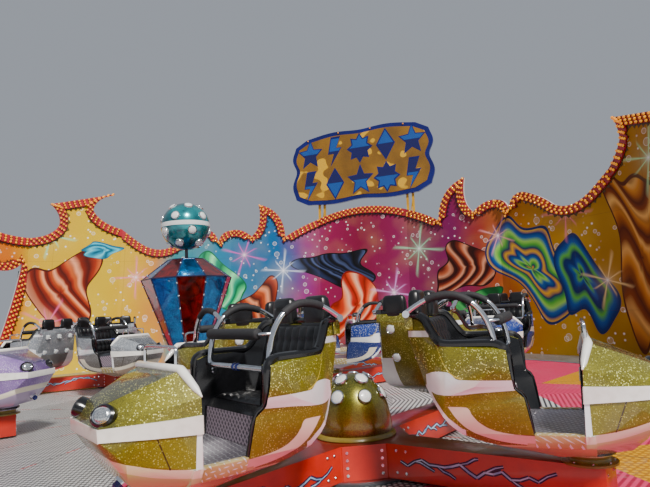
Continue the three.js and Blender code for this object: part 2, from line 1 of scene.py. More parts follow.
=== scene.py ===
"""Dresses the fairground dance ride: its materials and fine parts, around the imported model."""
import json
import random
from math import atan2, cos, hypot, pi, radians, sin, tan

import bmesh
import bpy
from mathutils import Matrix, Vector


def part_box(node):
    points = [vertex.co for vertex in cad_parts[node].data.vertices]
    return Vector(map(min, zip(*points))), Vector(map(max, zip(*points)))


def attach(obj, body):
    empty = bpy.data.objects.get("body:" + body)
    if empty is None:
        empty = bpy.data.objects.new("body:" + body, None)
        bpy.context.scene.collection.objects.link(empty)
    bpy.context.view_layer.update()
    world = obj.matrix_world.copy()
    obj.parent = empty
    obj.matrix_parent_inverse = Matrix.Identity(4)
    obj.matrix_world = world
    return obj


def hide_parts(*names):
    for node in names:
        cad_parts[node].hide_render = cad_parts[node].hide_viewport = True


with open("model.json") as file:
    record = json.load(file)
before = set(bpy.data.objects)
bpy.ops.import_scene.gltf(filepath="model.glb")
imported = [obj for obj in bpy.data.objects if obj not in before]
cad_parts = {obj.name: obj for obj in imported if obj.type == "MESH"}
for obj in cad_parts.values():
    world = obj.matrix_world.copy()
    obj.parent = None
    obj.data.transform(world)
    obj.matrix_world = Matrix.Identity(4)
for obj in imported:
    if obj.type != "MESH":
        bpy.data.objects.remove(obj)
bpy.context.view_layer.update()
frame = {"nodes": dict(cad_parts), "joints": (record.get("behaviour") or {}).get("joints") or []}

bl_info = {
    "name": "Fairground dance ride",
    "version": (1, 0, 0),
    "blender": (4, 5, 0),
    "location": "View3D > Sidebar > Ride",
    "description": "Builds the looks of a tilted turntable ride with crosses of spinning cars",
    "category": "Object",
}

# The platform and the wall, in metres, as the solids have them
PIVOT_HEIGHT = 0.42
ARM_TOP = 0.35
ARM_LENGTH = 2.315
ARM_ROOT_HALF_WIDTH = 0.215
ARM_END_HALF_WIDTH = 0.15
HUB_BLOCK_RADIUS = 0.56
TURNTABLE_RADIUS = 9.2
WALL_RADIUS = 10.8
BOARD_THICKNESS = 0.06
RIM_WIDTH = 0.26
RIM_THICKNESS = 0.05
BOARD_BELOW_DECK = 0.1
POST_TOP = 3.6
POST_WIDTH = 0.1
SEAMS = {"centre": 9.07, "inner": 27.2, "dip": 48.5, "horn": 64.5, "wing": 78.0}
NECKS = {"left": 54.1, "right": 51.3}
ARCH_HEIGHT = 5.4
ARCH_DROP = 0.65
ARCH_EDGE = 13.5
PILLAR_SIDES = 10
PILLAR_TURN = 4
PILLAR_CROWN = (0.82, 2.365)
PILLAR_TOP = (0.34, 2.72)
BALL_RADIUS = 0.45
BALL_CENTRE = 3.35
BEVEL_ANGLE = 28
LIVERIES = ("gold", "blue", "silver", "purple")

# Eye point of the view: place, turn, tilt and roll in radians, and the lens for a 36 mm wide sensor
EYE = (6.244, -9.156, 2.3245)
EYE_YAW = -0.3717
EYE_PITCH = 0.2101
EYE_ROLL = -0.0192
LENS = 31.7

JOINTS = {joint["name"]: joint for joint in frame["joints"]}
UP = Vector((0, 0, 1))


def basis(x, y, z, origin):
    """A frame from its three directions and its origin."""
    made = Matrix((x, y, z)).transposed().to_4x4()
    made.translation = origin
    return made


def platform_frame():
    """The tilted platform: z is the turntable's spin axis, x stays level."""
    spin = JOINTS["turntable_spin"]
    up = Vector(spin["axis"])
    level = Vector((1, 0, 0))
    return basis(level, up.cross(level), up, Vector(spin["pos_m"]))


PLATFORM = platform_frame()
SLOPE = PLATFORM.col[1][2] / PLATFORM.col[1][1]


def cross_frame(livery):
    """A cross: its origin on the platform and x along its first arm."""
    spin = JOINTS[f"{livery}_cross_spin"]
    up = Vector(spin["axis"])
    centre = Vector(spin["pos_m"])
    arm = Vector(JOINTS[f"{livery}_car_1_spin"]["pos_m"]) - centre
    arm = (arm - up * arm.dot(up)).normalized()
    return basis(arm, up.cross(arm), up, centre)


def car_frame(livery, number):
    """A car: its origin under its pivot at the platform's height and x towards its nose."""
    spin = JOINTS[f"{livery}_car_{number}_spin"]
    hinge = JOINTS[f"{livery}_lap_bar_{number}_hinge"]
    up = Vector(spin["axis"])
    across = -Vector(hinge["axis"])
    return basis(across.cross(up), across, up, Vector(spin["pos_m"]) - PIVOT_HEIGHT * up)


def deck_height(y):
    """Height of the podium's deck over the ground at a place of the plan."""
    return PLATFORM.translation.z + y * SLOPE


def colour(code):
    """A linear colour from its usual six-digit code."""
    parts = [int(code[i:i + 2], 16) / 255 for i in (0, 2, 4)]
    return (*[c / 12.92 if c <= 0.04045 else ((c + 0.055) / 1.055) ** 2.4 for c in parts], 1.0)


# Shapes


class Shape:
    """Collects closed solids and their material numbers, to become one mesh."""

    def __init__(self):
        self.points = []
        self.faces = []
        self.kinds = []

    def add(self, solid, kind=0, place=None):
        """Adds a solid, (points, faces), with one material number."""
        points, faces = solid
        start = len(self.points)
        self.points += [(place @ Vector(p)) if place else Vector(p) for p in points]
        self.faces += [[start + i for i in face] for face in faces]
        self.kinds += [kind] * len(faces)
        return self

    def add_pair(self, solid, kind, place=None):
        """Adds a solid and its mirror image across the middle plane."""
        points, faces = solid
        moved = [(place @ Vector(p)) if place else Vector(p) for p in points]
        self.add((moved, faces), kind)
        self.add((mirrored(moved), [list(reversed(face)) for face in faces]), kind)

    def mesh(self, name, bevel=0.0, smooth=35.0):
        """The mesh with outward faces, an optional rounding of its edges and its own coordinates kept."""
        made = bpy.data.meshes.new(name)
        made.from_pydata([tuple(p) for p in self.points], [], self.faces)
        made.polygons.foreach_set("material_index", self.kinds)
        outward(made)
        return rounded(made, bevel, smooth)


def mirrored(points):
    """Points on the other side of the middle plane."""
    return [Vector((p[0], -p[1], p[2])) for p in points]


def both_halves(half):
    """A path over the middle plane from its left half."""
    return [*half, *mirrored(reversed(half))]


def outward(mesh):
    """Turns the faces of each closed body outwards."""
    work = opened(mesh)
    bmesh.ops.recalc_face_normals(work, faces=work.faces)
    closed(work, mesh)


def opened(mesh):
    """An editable copy of a mesh."""
    work = bmesh.new()
    work.from_mesh(mesh)
    return work


def closed(work, mesh):
    """Writes an edited copy back to its mesh."""
    work.to_mesh(mesh)
    work.free()


def in_scene(name, data):
    """A new object in the scene."""
    made = bpy.data.objects.new(name, data)
    bpy.context.scene.collection.objects.link(made)
    return made


def applied(holder):
    """The mesh that an object's modifiers give, without the object."""
    graph = bpy.context.evaluated_depsgraph_get()
    mesh = bpy.data.meshes.new_from_object(holder.evaluated_get(graph))
    bpy.data.objects.remove(holder)
    return mesh


def shaded(mesh, angle):
    """Smooth shading up to an angle between faces."""
    mesh.shade_smooth()
    mesh.set_sharp_from_angle(angle=radians(angle))
    return mesh


def rounded(mesh, bevel, smooth):
    """Bevels the sharp edges, sets smooth shading by angle and keeps the coordinates as an attribute."""
    if bevel:
        holder = in_scene("holder", mesh)
        cut = holder.modifiers.new("Edges", "BEVEL")
        cut.width = bevel
        cut.segments = 2
        cut.limit_method = "ANGLE"
        cut.angle_limit = radians(BEVEL_ANGLE)
        cut.harden_normals = False
        mesh = applied(holder)
    keep_coordinates(shaded(mesh, smooth))
    return mesh


def keep_coordinates(mesh):
    """Stores each point's own coordinates, which patterns follow after the mesh is moved."""
    own = mesh.attributes.new("own", "FLOAT_VECTOR", "POINT")
    flat = [0.0] * (3 * len(mesh.vertices))
    mesh.vertices.foreach_get("co", flat)
    own.data.foreach_set("vector", flat)


def coat(mesh, finishes):
    """Gives a mesh its materials, given as such or by name, and keeps each face's material number."""
    numbers = [0] * len(mesh.polygons)
    mesh.polygons.foreach_get("material_index", numbers)
    mesh.materials.clear()
    for finish in finishes:
        mesh.materials.append(material(finish) if isinstance(finish, str) else finish)
    mesh.polygons.foreach_set("material_index", numbers)


def piece(name, mesh, finishes, body, place=None, replaces=()):
    """Puts a finished mesh in the scene as a piece that rides on a body."""
    mesh = mesh.copy()
    mesh.name = name
    coat(mesh, finishes)
    if place is not None:
        mesh.transform(place)
    made = in_scene(name, mesh)
    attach(made, body)
    if replaces:
        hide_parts(*replaces)
    return made


def prism(outline, axis, low, high):
    """An outline thickened between two values along the axis y or z."""
    lay = {"y": lambda a, b, c: (a, c, b), "z": lambda a, b, c: (a, b, c)}[axis]
    count = len(outline)
    points = [lay(a, b, depth) for depth in (low, high) for a, b in outline]
    sides = [[i, (i + 1) % count, count + (i + 1) % count, count + i] for i in range(count)]
    return points, [list(range(count)), list(range(count, 2 * count)), *sides]


def grid_faces(rows, count, rows_close, count_closes):
    """Four-sided faces between rows of count points each, with the rows or the points closed to a ring."""
    faces = []
    for row in range(rows if rows_close else rows - 1):
        start, below = row * count, (row + 1) % rows * count
        for i in range(count if count_closes else count - 1):
            after = (i + 1) % count
            faces.append([start + i, start + after, below + after, below + i])
    return faces


def band(outer, inner, front, back):
    """A flat band between two lines of as many points, between two depths."""
    count = len(outer)
    rows = ((outer, front), (inner, front), (inner, back), (outer, back))
    points = [(a, depth, b) for line, depth in rows for a, b in line]
    ends = [row * count for row in range(4)]
    far_ends = [end + count - 1 for end in reversed(ends)]
    return points, [*grid_faces(4, count, True, False), ends, far_ends]


def block(low, high):
    """A box between two corners."""
    (x0, y0, z0), (x1, y1, z1) = low, high
    return prism([(x0, y0), (x1, y0), (x1, y1), (x0, y1)], "z", z0, z1)


def sweep(path, radius, sides, closed=False):
    """A tube along a path, with one radius or one for each point."""
    path = [Vector(p) for p in path]
    count = len(path)
    radii = radius if isinstance(radius, (list, tuple)) else [radius] * count
    points = []
    across = None
    for i, at in enumerate(path):
        before = path[i - 1] if closed or i else at
        after = path[(i + 1) % count] if closed or i < count - 1 else at
        along = (after - before).normalized()
        if across is None:
            across = along.orthogonal().normalized()
            if abs(along.y) < 0.9:
                across = (Vector((0, 1, 0)) - along * along.y).normalized()
        across = (across - along * across.dot(along)).normalized()
        other = along.cross(across)
        for k in range(sides):
            turn = 2 * pi * k / sides
            points.append(at + radii[i] * (cos(turn) * across + sin(turn) * other))
    faces = grid_faces(count, sides, closed, True)
    if not closed:
        faces += [list(range(sides)), list(range(len(points) - sides, len(points)))]
    return points, faces


def smooth_path(points, steps):
    """Points on a smooth curve through the given points."""
    points = [Vector(p) for p in points]
    count = len(points)
    found = []
    for i in range(count - 1):
        four = [points[max(0, min(count - 1, i + k))] for k in (-1, 0, 1, 2)]
        for step in range(steps):
            t = step / steps
            found.append(0.5 * (
                2 * four[1] + (four[2] - four[0]) * t
                + (2 * four[0] - 5 * four[1] + 4 * four[2] - four[3]) * t ** 2
                + (3 * four[1] - four[0] - 3 * four[2] + four[3]) * t ** 3
            ))
    return [*found, points[-1]]


def around(radius, height, turn):
    """A point at a radius, a height and a turn about the vertical."""
    return Vector((radius * cos(turn), radius * sin(turn), height))


def lathe(profile, sides):
    """A solid turned about the vertical from (radius, height) points, the first and last on the axis."""
    inner = profile[1:-1]
    points = [(0, 0, profile[0][1])]
    points += [around(radius, height, 2 * pi * k / sides) for radius, height in inner for k in range(sides)]
    points.append((0, 0, profile[-1][1]))
    last = len(points) - 1
    faces = [[i + 1 for i in face] for face in grid_faces(len(inner), sides, False, True)]
    for k in range(sides):
        after = (k + 1) % sides
        faces += [[0, 1 + after, 1 + k], [last - sides + k, last - sides + after, last]]
    return points, faces


def ball(radius, rings, sides, squash):
    """A sphere, squashed along its own axis where squash is under 1."""
    arc = [(radius * sin(pi * i / rings), -radius * squash * cos(pi * i / rings)) for i in range(rings + 1)]
    return lathe(arc, sides)


def facing(direction, origin):
    """A frame whose z looks along a direction, such as a lamp's on a sloping face."""
    z = Vector(direction).normalized()
    x = Vector((0, 0, 1)).cross(z)
    x = x.normalized() if x.length > 1e-4 else Vector((1, 0, 0))
    return basis(x, z.cross(x), z, Vector(origin))


def direction_at(line, i, reach):
    """The unit direction of a line of (a, b) points around one of them."""
    before, after = line[max(0, i - reach)], line[min(len(line) - 1, i + reach)]
    run = hypot(after[0] - before[0], after[1] - before[1]) or 1.0
    return (after[0] - before[0]) / run, (after[1] - before[1]) / run


def ribbon(path, widths, low, high):
    """A thin solid along a path of (x, z) points, with a half width at each and between two depths."""
    left, right = [], []
    for i, ((a, b), width) in enumerate(zip(path, widths)):
        run_a, run_b = direction_at(path, i, 1)
        left.append((a - run_b * width, b + run_a * width))
        right.append((a + run_b * width, b - run_a * width))
    return prism([*left, *reversed(right)], "y", low, high)


def merged_copy(node):
    """A copy of a CAD node's mesh with its points merged and its flat faces joined up."""
    mesh = frame["nodes"][node].data.copy()
    work = opened(mesh)
    bmesh.ops.remove_doubles(work, verts=work.verts, dist=1e-5)
    bmesh.ops.dissolve_limit(work, angle_limit=radians(1), verts=work.verts, edges=work.edges)
    bmesh.ops.recalc_face_normals(work, faces=work.faces)
    closed(work, mesh)
    return mesh


# Repeated small parts, made by Geometry Nodes


class Repeat:
    """A Geometry Nodes tree that sets parts on every point of a mesh, along the direction that it carries."""

    def __init__(self, name, parts):
        self.tree = bpy.data.node_groups.new(name, "GeometryNodeTree")
        self.socket("Geometry", "INPUT", "NodeSocketGeometry")
        self.sizes = {label: self.socket(label, "INPUT", "NodeSocketFloat").identifier
                      for label in ("Radius", "Height")}
        self.socket("Geometry", "OUTPUT", "NodeSocketGeometry")
        self.start = self.tree.nodes.new("NodeGroupInput")
        join = self.node("GeometryNodeJoinGeometry")
        carried = self.node("GeometryNodeInputNamedAttribute", Name="direction")
        carried.data_type = "FLOAT_VECTOR"
        turn = self.node("FunctionNodeAlignRotationToVector", Vector=carried.outputs["Attribute"])
        turn.axis = "Z"
        for kind, material_used in parts:
            spread = self.node("GeometryNodeInstanceOnPoints", Points=self.start.outputs["Geometry"],
                               Instance=self.part(*PART_KINDS[kind]), Rotation=turn.outputs["Rotation"])
            real = self.node("GeometryNodeRealizeInstances", Geometry=spread.outputs["Instances"])
            coated = self.node("GeometryNodeSetMaterial", Geometry=real.outputs["Geometry"],
                               Material=material_used)
            self.tree.links.new(coated.outputs["Geometry"], join.inputs["Geometry"])
        self.node("NodeGroupOutput", Geometry=join.outputs["Geometry"])

    def socket(self, label, way, kind):
        """A socket of the tree."""
        return self.tree.interface.new_socket(label, in_out=way, socket_type=kind)

    def node(self, kind, **values):
        """A node with its inputs set or linked."""
        made = self.tree.nodes.new(kind)
        for label, value in values.items():
            place = made.inputs[label.replace("_", " ")]
            if isinstance(value, bpy.types.NodeSocket):
                self.tree.links.new(value, place)
            else:
                place.default_value = value
        return made

    def size_vector(self, *members):
        """A vector of multiples of the tree's sizes, given as (size, factor)."""
        vector = self.tree.nodes.new("ShaderNodeCombineXYZ")
        for place, (label, factor) in zip(vector.inputs, members):
            times = self.tree.nodes.new("ShaderNodeMath")
            times.operation = "MULTIPLY"
            self.tree.links.new(self.start.outputs[label], times.inputs[0])
            times.inputs[1].default_value = factor
            self.tree.links.new(times.outputs[0], place)
        return vector.outputs[0]

    def part(self, shape, width, tall, lift):
        """A unit shape scaled by the tree's sizes, (size, factor), and lifted off its seat."""
        scale = self.size_vector(("Radius", width), ("Radius", width), tall)
        seat = self.size_vector(("Radius", 0), ("Radius", 0), ("Height", lift))
        move = self.node("GeometryNodeTransform", Geometry=shape(self), Translation=seat, Scale=scale)
        return move.outputs["Geometry"]

    def sphere(self, segments, rings):
        """A unit sphere."""
        return self.node("GeometryNodeMeshUVSphere", Segments=segments, Rings=rings).outputs["Mesh"]

    def drum(self, sides):
        """A unit drum."""
        return self.node("GeometryNodeMeshCylinder", Vertices=sides, Radius=1.0, Depth=1.0).outputs["Mesh"]

    def circle(self, sides, radius):
        """A curve around a circle."""
        return self.node("GeometryNodeCurvePrimitiveCircle", Resolution=sides, Radius=radius).outputs["Curve"]

    def ring(self, radius, thickness):
        """A rounded ring."""
        tube = self.node("GeometryNodeCurveToMesh", Curve=self.circle(20, radius),
                         Profile_Curve=self.circle(6, thickness))
        return tube.outputs["Mesh"]


# Repeated parts: unit shape, width in radii, height as (size, factor) and lift in heights
PART_KINDS = {
    "bulb": (lambda repeat: repeat.sphere(7, 5), 1, ("Height", 1), 0.8),
    "lens": (lambda repeat: repeat.sphere(20, 10), 0.86, ("Height", 0.9), 0.45),
    "ring": (lambda repeat: repeat.ring(0.9, 0.12), 1, ("Radius", 1.6), 0.45),
    "cup": (lambda repeat: repeat.drum(8), 1.0, ("Height", 0.5), 0.25),
    "drum": (lambda repeat: repeat.drum(20), 1.0, ("Height", 0.6), 0.3),
    "nut": (lambda repeat: repeat.drum(6), 0.8, ("Height", 1.0), 0.5),
    "washer": (lambda repeat: repeat.drum(12), 1.3, ("Height", 0.3), 0.15),
}


def repeated_piece(name, places, parts, radius, height, body, slot):
    """A piece of parts set on (point, direction) places, each part given as (kind, material)."""
    seeds = bpy.data.meshes.new(name)
    seeds.from_pydata([tuple(p) for p, _ in places], [], [])
    direction = seeds.attributes.new("direction", "FLOAT_VECTOR", "POINT")
    direction.data.foreach_set("vector", [c for _, d in places for c in Vector(d).normalized()])
    holder = in_scene(name, seeds)
    repeat = Repeat(name, [(kind, material(finish)) for kind, finish in parts])
    modifier = holder.modifiers.new("Repeat", "NODES")
    modifier.node_group = repeat.tree
    for label, value in (("Radius", radius), ("Height", height)):
        modifier[repeat.sizes[label]] = value
    mesh = shaded(applied(holder), 40)
    return piece(name, mesh, list(mesh.materials), body)


# Materials


def feed(tree, socket, value):
    """Sets a socket's value or links it."""
    if isinstance(value, Field):
        tree.links.new(value.socket, socket)
    else:
        socket.default_value = value


def operator(kind, swapped=False):
    """A method that sends a field and another value through a maths node."""
    def apply(self, *others):
        return self.maths(kind, *others, self) if swapped else self.maths(kind, self, *others)
    return apply


def tinted(value):
    """The colour of a code, or any other value as it is."""
    return colour(value) if isinstance(value, str) else value


class Field:
    """A value that varies over a surface, so that a pattern is written as a formula."""

    def __init__(self, tree, socket):
        self.tree = tree
        self.socket = socket

    def maths(self, kind, *values, clamp=False):
        """A maths node on the given values."""
        node = self.tree.nodes.new("ShaderNodeMath")
        node.operation = kind
        node.use_clamp = clamp
        for place, value in zip(node.inputs, values):
            feed(self.tree, place, value)
        return Field(self.tree, node.outputs[0])

    __add__ = operator("ADD")
    __sub__ = operator("SUBTRACT")
    __rsub__ = operator("SUBTRACT", swapped=True)
    __mul__ = operator("MULTIPLY")
    __truediv__ = operator("DIVIDE")
    __pow__ = operator("POWER")
    __abs__ = operator("ABSOLUTE")
    __mod__ = operator("FLOORED_MODULO")
    __or__ = operator("MAXIMUM")
    __and__ = operator("MINIMUM")
    sine = operator("SINE")
    cosine = operator("COSINE")
    floor = operator("FLOOR")
    exponent = operator("EXPONENT")

    def over(self, edge, soft=0.002):
        """1 where the value is over an edge, and 0 under it."""
        return self.maths("ADD", (self - edge) * (1 / soft), 0.5, clamp=True)

    def under(self, edge, soft=0.002):
        """1 where the value is under an edge, and 0 over it."""
        return 1.0 - self.over(edge, soft)

    def within(self, low, high, soft=0.002):
        """1 between two edges."""
        return self.over(low, soft) * self.under(high, soft)


class Paint:
    """Writes a procedural material."""

    def __init__(self, name, **values):
        self.material = bpy.data.materials.new(name)
        self.material.use_nodes = True
        self.tree = self.material.node_tree
        self.shader = self.tree.nodes["Principled BSDF"]
        self.set(**values)

    def set(self, **values):
        """Sets or links inputs of the shader by their names in lower case."""
        inputs = {socket.name.lower().replace(" ", "_"): socket for socket in self.shader.inputs}
        for name, value in values.items():
            feed(self.tree, inputs[name], value)
        return self

    def node(self, kind, outlet=0, options=None, **values):
        """A node with options and named inputs, and the outlet that is used."""
        made = self.tree.nodes.new("ShaderNode" + kind)
        for name, value in (options or {}).items():
            setattr(made, name, value)
        inputs = {socket.name.lower().replace(" ", "_"): socket for socket in made.inputs if socket.enabled}
        for name, value in values.items():
            feed(self.tree, inputs[name], value)
        return Field(self.tree, made.outputs[outlet])

    def place(self):
        """The point in the row's frame."""
        return self.node("TexCoord", "Object")

    def own(self):
        """The point in the piece's own frame, as its mesh was made."""
        return self.node("Attribute", "Vector", {"attribute_name": "own", "attribute_type": "GEOMETRY"})

    def split(self, vector):
        """The x, y and z of a vector."""
        node = self.tree.nodes.new("ShaderNodeSeparateXYZ")
        feed(self.tree, node.inputs[0], vector)
        return [Field(self.tree, outlet) for outlet in node.outputs]

    def joined(self, x, y):
        """A vector in the plane."""
        node = self.tree.nodes.new("ShaderNodeCombineXYZ")
        feed(self.tree, node.inputs[0], x)
        feed(self.tree, node.inputs[1], y)
        return Field(self.tree, node.outputs[0])

    def turned(self, vector, inverse=False, **values):
        """A vector moved, turned or scaled, or brought back from that."""
        options = {"vector_type": "TEXTURE" if inverse else "POINT"}
        return self.node("Mapping", 0, options, vector=vector, **values)

    def noise(self, vector, scale, detail, roughness=0.5, distortion=0.0):
        """Soft clouds or grain."""
        return self.node("TexNoise", 0, None, vector=vector, scale=scale, detail=detail,
                         roughness=roughness, distortion=distortion)

    def cells(self, vector, scale, outlet="Distance", dimensions="3D"):
        """Distance from the middle of the nearest cell, or the cell's colour or place."""
        return self.node("TexVoronoi", outlet, {"voronoi_dimensions": dimensions}, vector=vector, scale=scale)

    def mix(self, share, under, over):
        """A colour or code over another one by a share."""
        node = self.tree.nodes.new("ShaderNodeMix")
        node.data_type = "RGBA"
        for place, value in ((0, share), (6, under), (7, over)):
            feed(self.tree, node.inputs[place], tinted(value))
        return Field(self.tree, node.outputs[2])

    def layers(self, base, *layers):
        """A colour with (share, colour) layers over it, one after the other."""
        for share, tint in layers:
            base = self.mix(share, base, tint)
        return base

    def mottled(self, vector, scale, detail, dark, light, soft=0.5, roughness=0.5):
        """Two tones in soft patches, and the noise that parts them."""
        noise = self.noise(vector, scale, detail, roughness)
        return self.mix(noise.over(0.5, soft), dark, light), noise

    def ramp(self, value, stops):
        """Colours along a value from 0 to 1."""
        node = self.tree.nodes.new("ShaderNodeValToRGB")
        elements = node.color_ramp.elements
        while len(elements) < len(stops):
            elements.new(0.5)
        for element, (position, tint) in zip(elements, stops):
            element.position = position
            element.color = tinted(tint)
        feed(self.tree, node.inputs[0], value)
        return Field(self.tree, node.outputs[0])

    def profile(self, along, points, straight=False):
        """The height of a line through (along, height) points, drawn as an edge on a surface."""
        low, high = points[0][0], points[-1][0]
        bottom = min(p[1] for p in points)
        rise = (max(p[1] for p in points) - bottom) or 1.0
        node = self.tree.nodes.new("ShaderNodeFloatCurve")
        curve = node.mapping.curves[0]
        node.mapping.extend = "HORIZONTAL"
        for i, (a, b) in enumerate(points):
            spot = ((a - low) / (high - low), (b - bottom) / rise)
            if i in (0, len(points) - 1):
                curve.points[0 if i == 0 else -1].location = spot
            else:
                curve.points.new(*spot)
        for point in curve.points:
            point.handle_type = "VECTOR" if straight else "AUTO_CLAMPED"
        node.mapping.update()
        feed(self.tree, node.inputs["Value"], (along - low) * (1 / (high - low)))
        return Field(self.tree, node.outputs[0]) * rise + bottom

    def bump(self, height, strength, distance):
        """Relief in the surface's normal."""
        relief = self.node("Bump", 0, None, height=height, strength=strength, distance=distance)
        return self.set(normal=relief)


MATERIALS = {}


def material(name):
    """A material by name, made once."""
    if name not in MATERIALS:
        MATERIALS[name] = RECIPES[name]().material
    return MATERIALS[name]


def polar(paint, a, b):
    """Distance and angle of a point given by two fields."""
    distance = paint.node("VectorMath", "Value", {"operation": "LENGTH"}, vector=paint.joined(a, b))
    return distance, a.maths("ARCTAN2", b, a)


def glitter(paint, dark, bright, place):
    """Glitter flakes in a tinted coat: a fine grain, a soft cloud and a few flakes painted bright as glints.
    """
    grain = paint.split(paint.cells(place, 190, "Color"))[0]
    flakes = paint.split(paint.cells(place, 105, "Color"))
    cloud = paint.noise(place, 3.0, 2)
    body = paint.mix(grain * 0.5 + cloud.over(0.5, 0.5) * 0.3, dark, bright)
    # Painted glints: a few flakes painted bright where they would catch the light
    painted_glint = (flakes[0].over(0.8, 0.1) * paint.noise(place, 5.0, 2).over(0.46, 0.25)
             * paint.cells(place, 105).under(0.45, 0.2))
    return body, painted_glint, grain


# Lines on the car's sides, as (forwards, height): the rear glitter's lower edge, the white band, the swoosh,
# the bowl of the nose, the shell's back edge and the fine line behind the seat
REAR_RIDGE = [(-1.3, 1.3), (-1.21, 1.13), (-1.12, 0.955), (-0.92, 0.935), (-0.4, 0.985)]
BAND_TOP = [(-1.16, 1.1), (-1.0, 1.13), (-0.93, 1.11), (-0.854, 1.07), (-0.4, 1.07)]
BAND_FOOT = [(-1.16, 1.0), (-1.1, 0.965), (-1.02, 0.95), (-0.7, 0.975), (-0.4, 1.0)]
SWOOSH_TOP = [(-0.98, 0.862), (-0.84, 0.858), (-0.8, 0.8), (-0.74, 0.735), (-0.64, 0.685), (-0.5, 0.66),
              (-0.35, 0.65)]
SWOOSH_FOOT = [(-0.98, 0.862), (-0.9, 0.745), (-0.82, 0.68), (-0.72, 0.635), (-0.6, 0.6), (-0.35, 0.57)]
NOSE_BOWL = [(-0.06, 0.655), (0.2, 0.685), (0.45, 0.755), (0.6, 0.8)]
BACK_EDGE = [(-1.31, 1.47), (-1.28, 1.35), (-1.21, 1.16), (-1.16, 1.01), (-1.08, 0.86), (-0.985, 0.73),
             (-0.89, 0.65), (-0.73, 0.59), (-0.4, 0.52)]
PIN_LINE = [(-1.12, 1.5), (-1.05, 1.36), (-0.966, 1.158), (-0.91, 1.1), (-0.853, 1.078)]
PIN_WIDTH = 0.006
KEEL_GAP = 0.065
KEEL_TOP = 0.57

def livery_paint(name, upper, flake, shaded_facet, lower, lower_flake, keel_tint):
    """The car shell: glitter above and below a white band, a cream swoosh, a keel and its edge lines."""
    paint = Paint(f"{name} glitter shell", metallic=0.3, coat_weight=0.7, coat_roughness=0.06)
    place = paint.place()
    x, y, z = paint.split(paint.own())
    side = abs(y)
    rear = x.under(-0.3)
    nose = x.over(-0.1)

    # Glitter: light above, deep below, and the nose's crown and beak in a darker tone as painted shade
    top, painted_glint, grain = glitter(paint, upper, flake, place)
    bottom, _, _ = glitter(paint, lower, lower_flake, place)
    low_part = rear * z.under(paint.profile(x, REAR_RIDGE)) | nose * z.under(0.93)
    shade = paint.noise(place, 2.2, 2).over(0.5, 0.6)
    bottom = paint.layers(bottom, (z.over(0.72, 0.3) * 0.45, top),
                          (z.under(0.75, 0.4) * 0.35 + shade * 0.25, lower))
    # Painted shade: the nose's top facet and the front of its beak in the darker facet tone
    crown = nose * z.over(1.325 - x * 0.43) * side.under(0.44 - x * 0.45)
    shaded_beak = x.over(0.5) * z.over(0.98) * 0.6

    # White and cream trims
    belt = z.under(paint.profile(x, BAND_TOP)) * z.over(paint.profile(x, BAND_FOOT))
    back_strip = x.within(-1.29, -1.1) * z.within(1.4, 1.45)
    nose_strip = x.within(-0.05, 0.03) * z.within(0.64, 0.9)
    from_back = z - paint.profile(x, BACK_EDGE, True)
    piping = x.under(-0.86) * z.under(1.02) * from_back.under(0.045, 0.004) * side.over(0.36)
    white = x.within(-1.15, -0.3) * belt | back_strip | nose_strip | piping
    swoosh = z.under(paint.profile(x, SWOOSH_TOP)) * z.over(paint.profile(x, SWOOSH_FOOT))
    bowl = paint.profile(x, NOSE_BOWL)
    cream = x.within(-0.98, -0.2) * swoosh | nose * z.under(bowl)

    # Keel, the nose's dividing line and the fine line behind the seat
    keel = x.over(-0.42) * z.under(bowl - KEEL_GAP, 0.004) | z.under(KEEL_TOP)
    division = nose * z.within(0.68, 0.9) * abs(x + (0.9 - z) * 0.4 - 0.274).under(0.005, 0.003)
    pin = x.within(-1.12, -0.85) * abs(z - paint.profile(x, PIN_LINE)).under(PIN_WIDTH, 0.003)
    plain_part = white | cream | keel
    # Painted glints: the flakes that would catch the light, painted white or pale yellow, off the trims and
    # dimmer low down
    bright = painted_glint * (1.0 - plain_part) * (1.0 - low_part * 0.6)
    shell = paint.layers(
        top, (low_part, bottom), (crown, paint.mix(grain * 0.4, shaded_facet, upper)), (shaded_beak, shaded_facet),
        (white, "fbfdff"), (cream, "f6ead2"), (keel, keel_tint), (division, "3a2408"), (pin, "d9c34a"),
        (bright, "ffff98" if name == "gold" else "ffffff"),
    )
    paint.set(base_color=shell, roughness=0.42 - plain_part * 0.16)
    return paint.bump(grain * (1.0 - plain_part), 0.2, 0.001)


def clouds(scale, detail, edge=0.5, soft=0.0, share=1.0):
    """A pattern of soft clouds, cut at an edge where it is given a softness."""
    def pattern(paint):
        found = paint.noise(paint.place(), scale, detail)
        return (found.over(edge, soft) if soft else found) * share
    return pattern


def facets(scale):
    """A pattern of small cells."""
    return lambda paint: paint.cells(paint.place(), scale)


def plain(name, dark, light, pattern, relief=None, strength=0.0, depth=0.001, **values):
    """A finish of two near tones, with an optional grain in relief."""
    paint = Paint(name, **values)
    paint.set(base_color=paint.mix(pattern(paint), dark, light))
    return paint.bump(relief(paint), strength, depth) if relief else paint


def chrome():
    """Polished chrome with a little haze."""
    paint = Paint("polished chrome", metallic=1.0)
    haze = paint.noise(paint.place(), 9, 5)
    return paint.set(base_color=paint.mix(haze, "c9ccd2", "eceef2"), roughness=haze * 0.16 + 0.06)


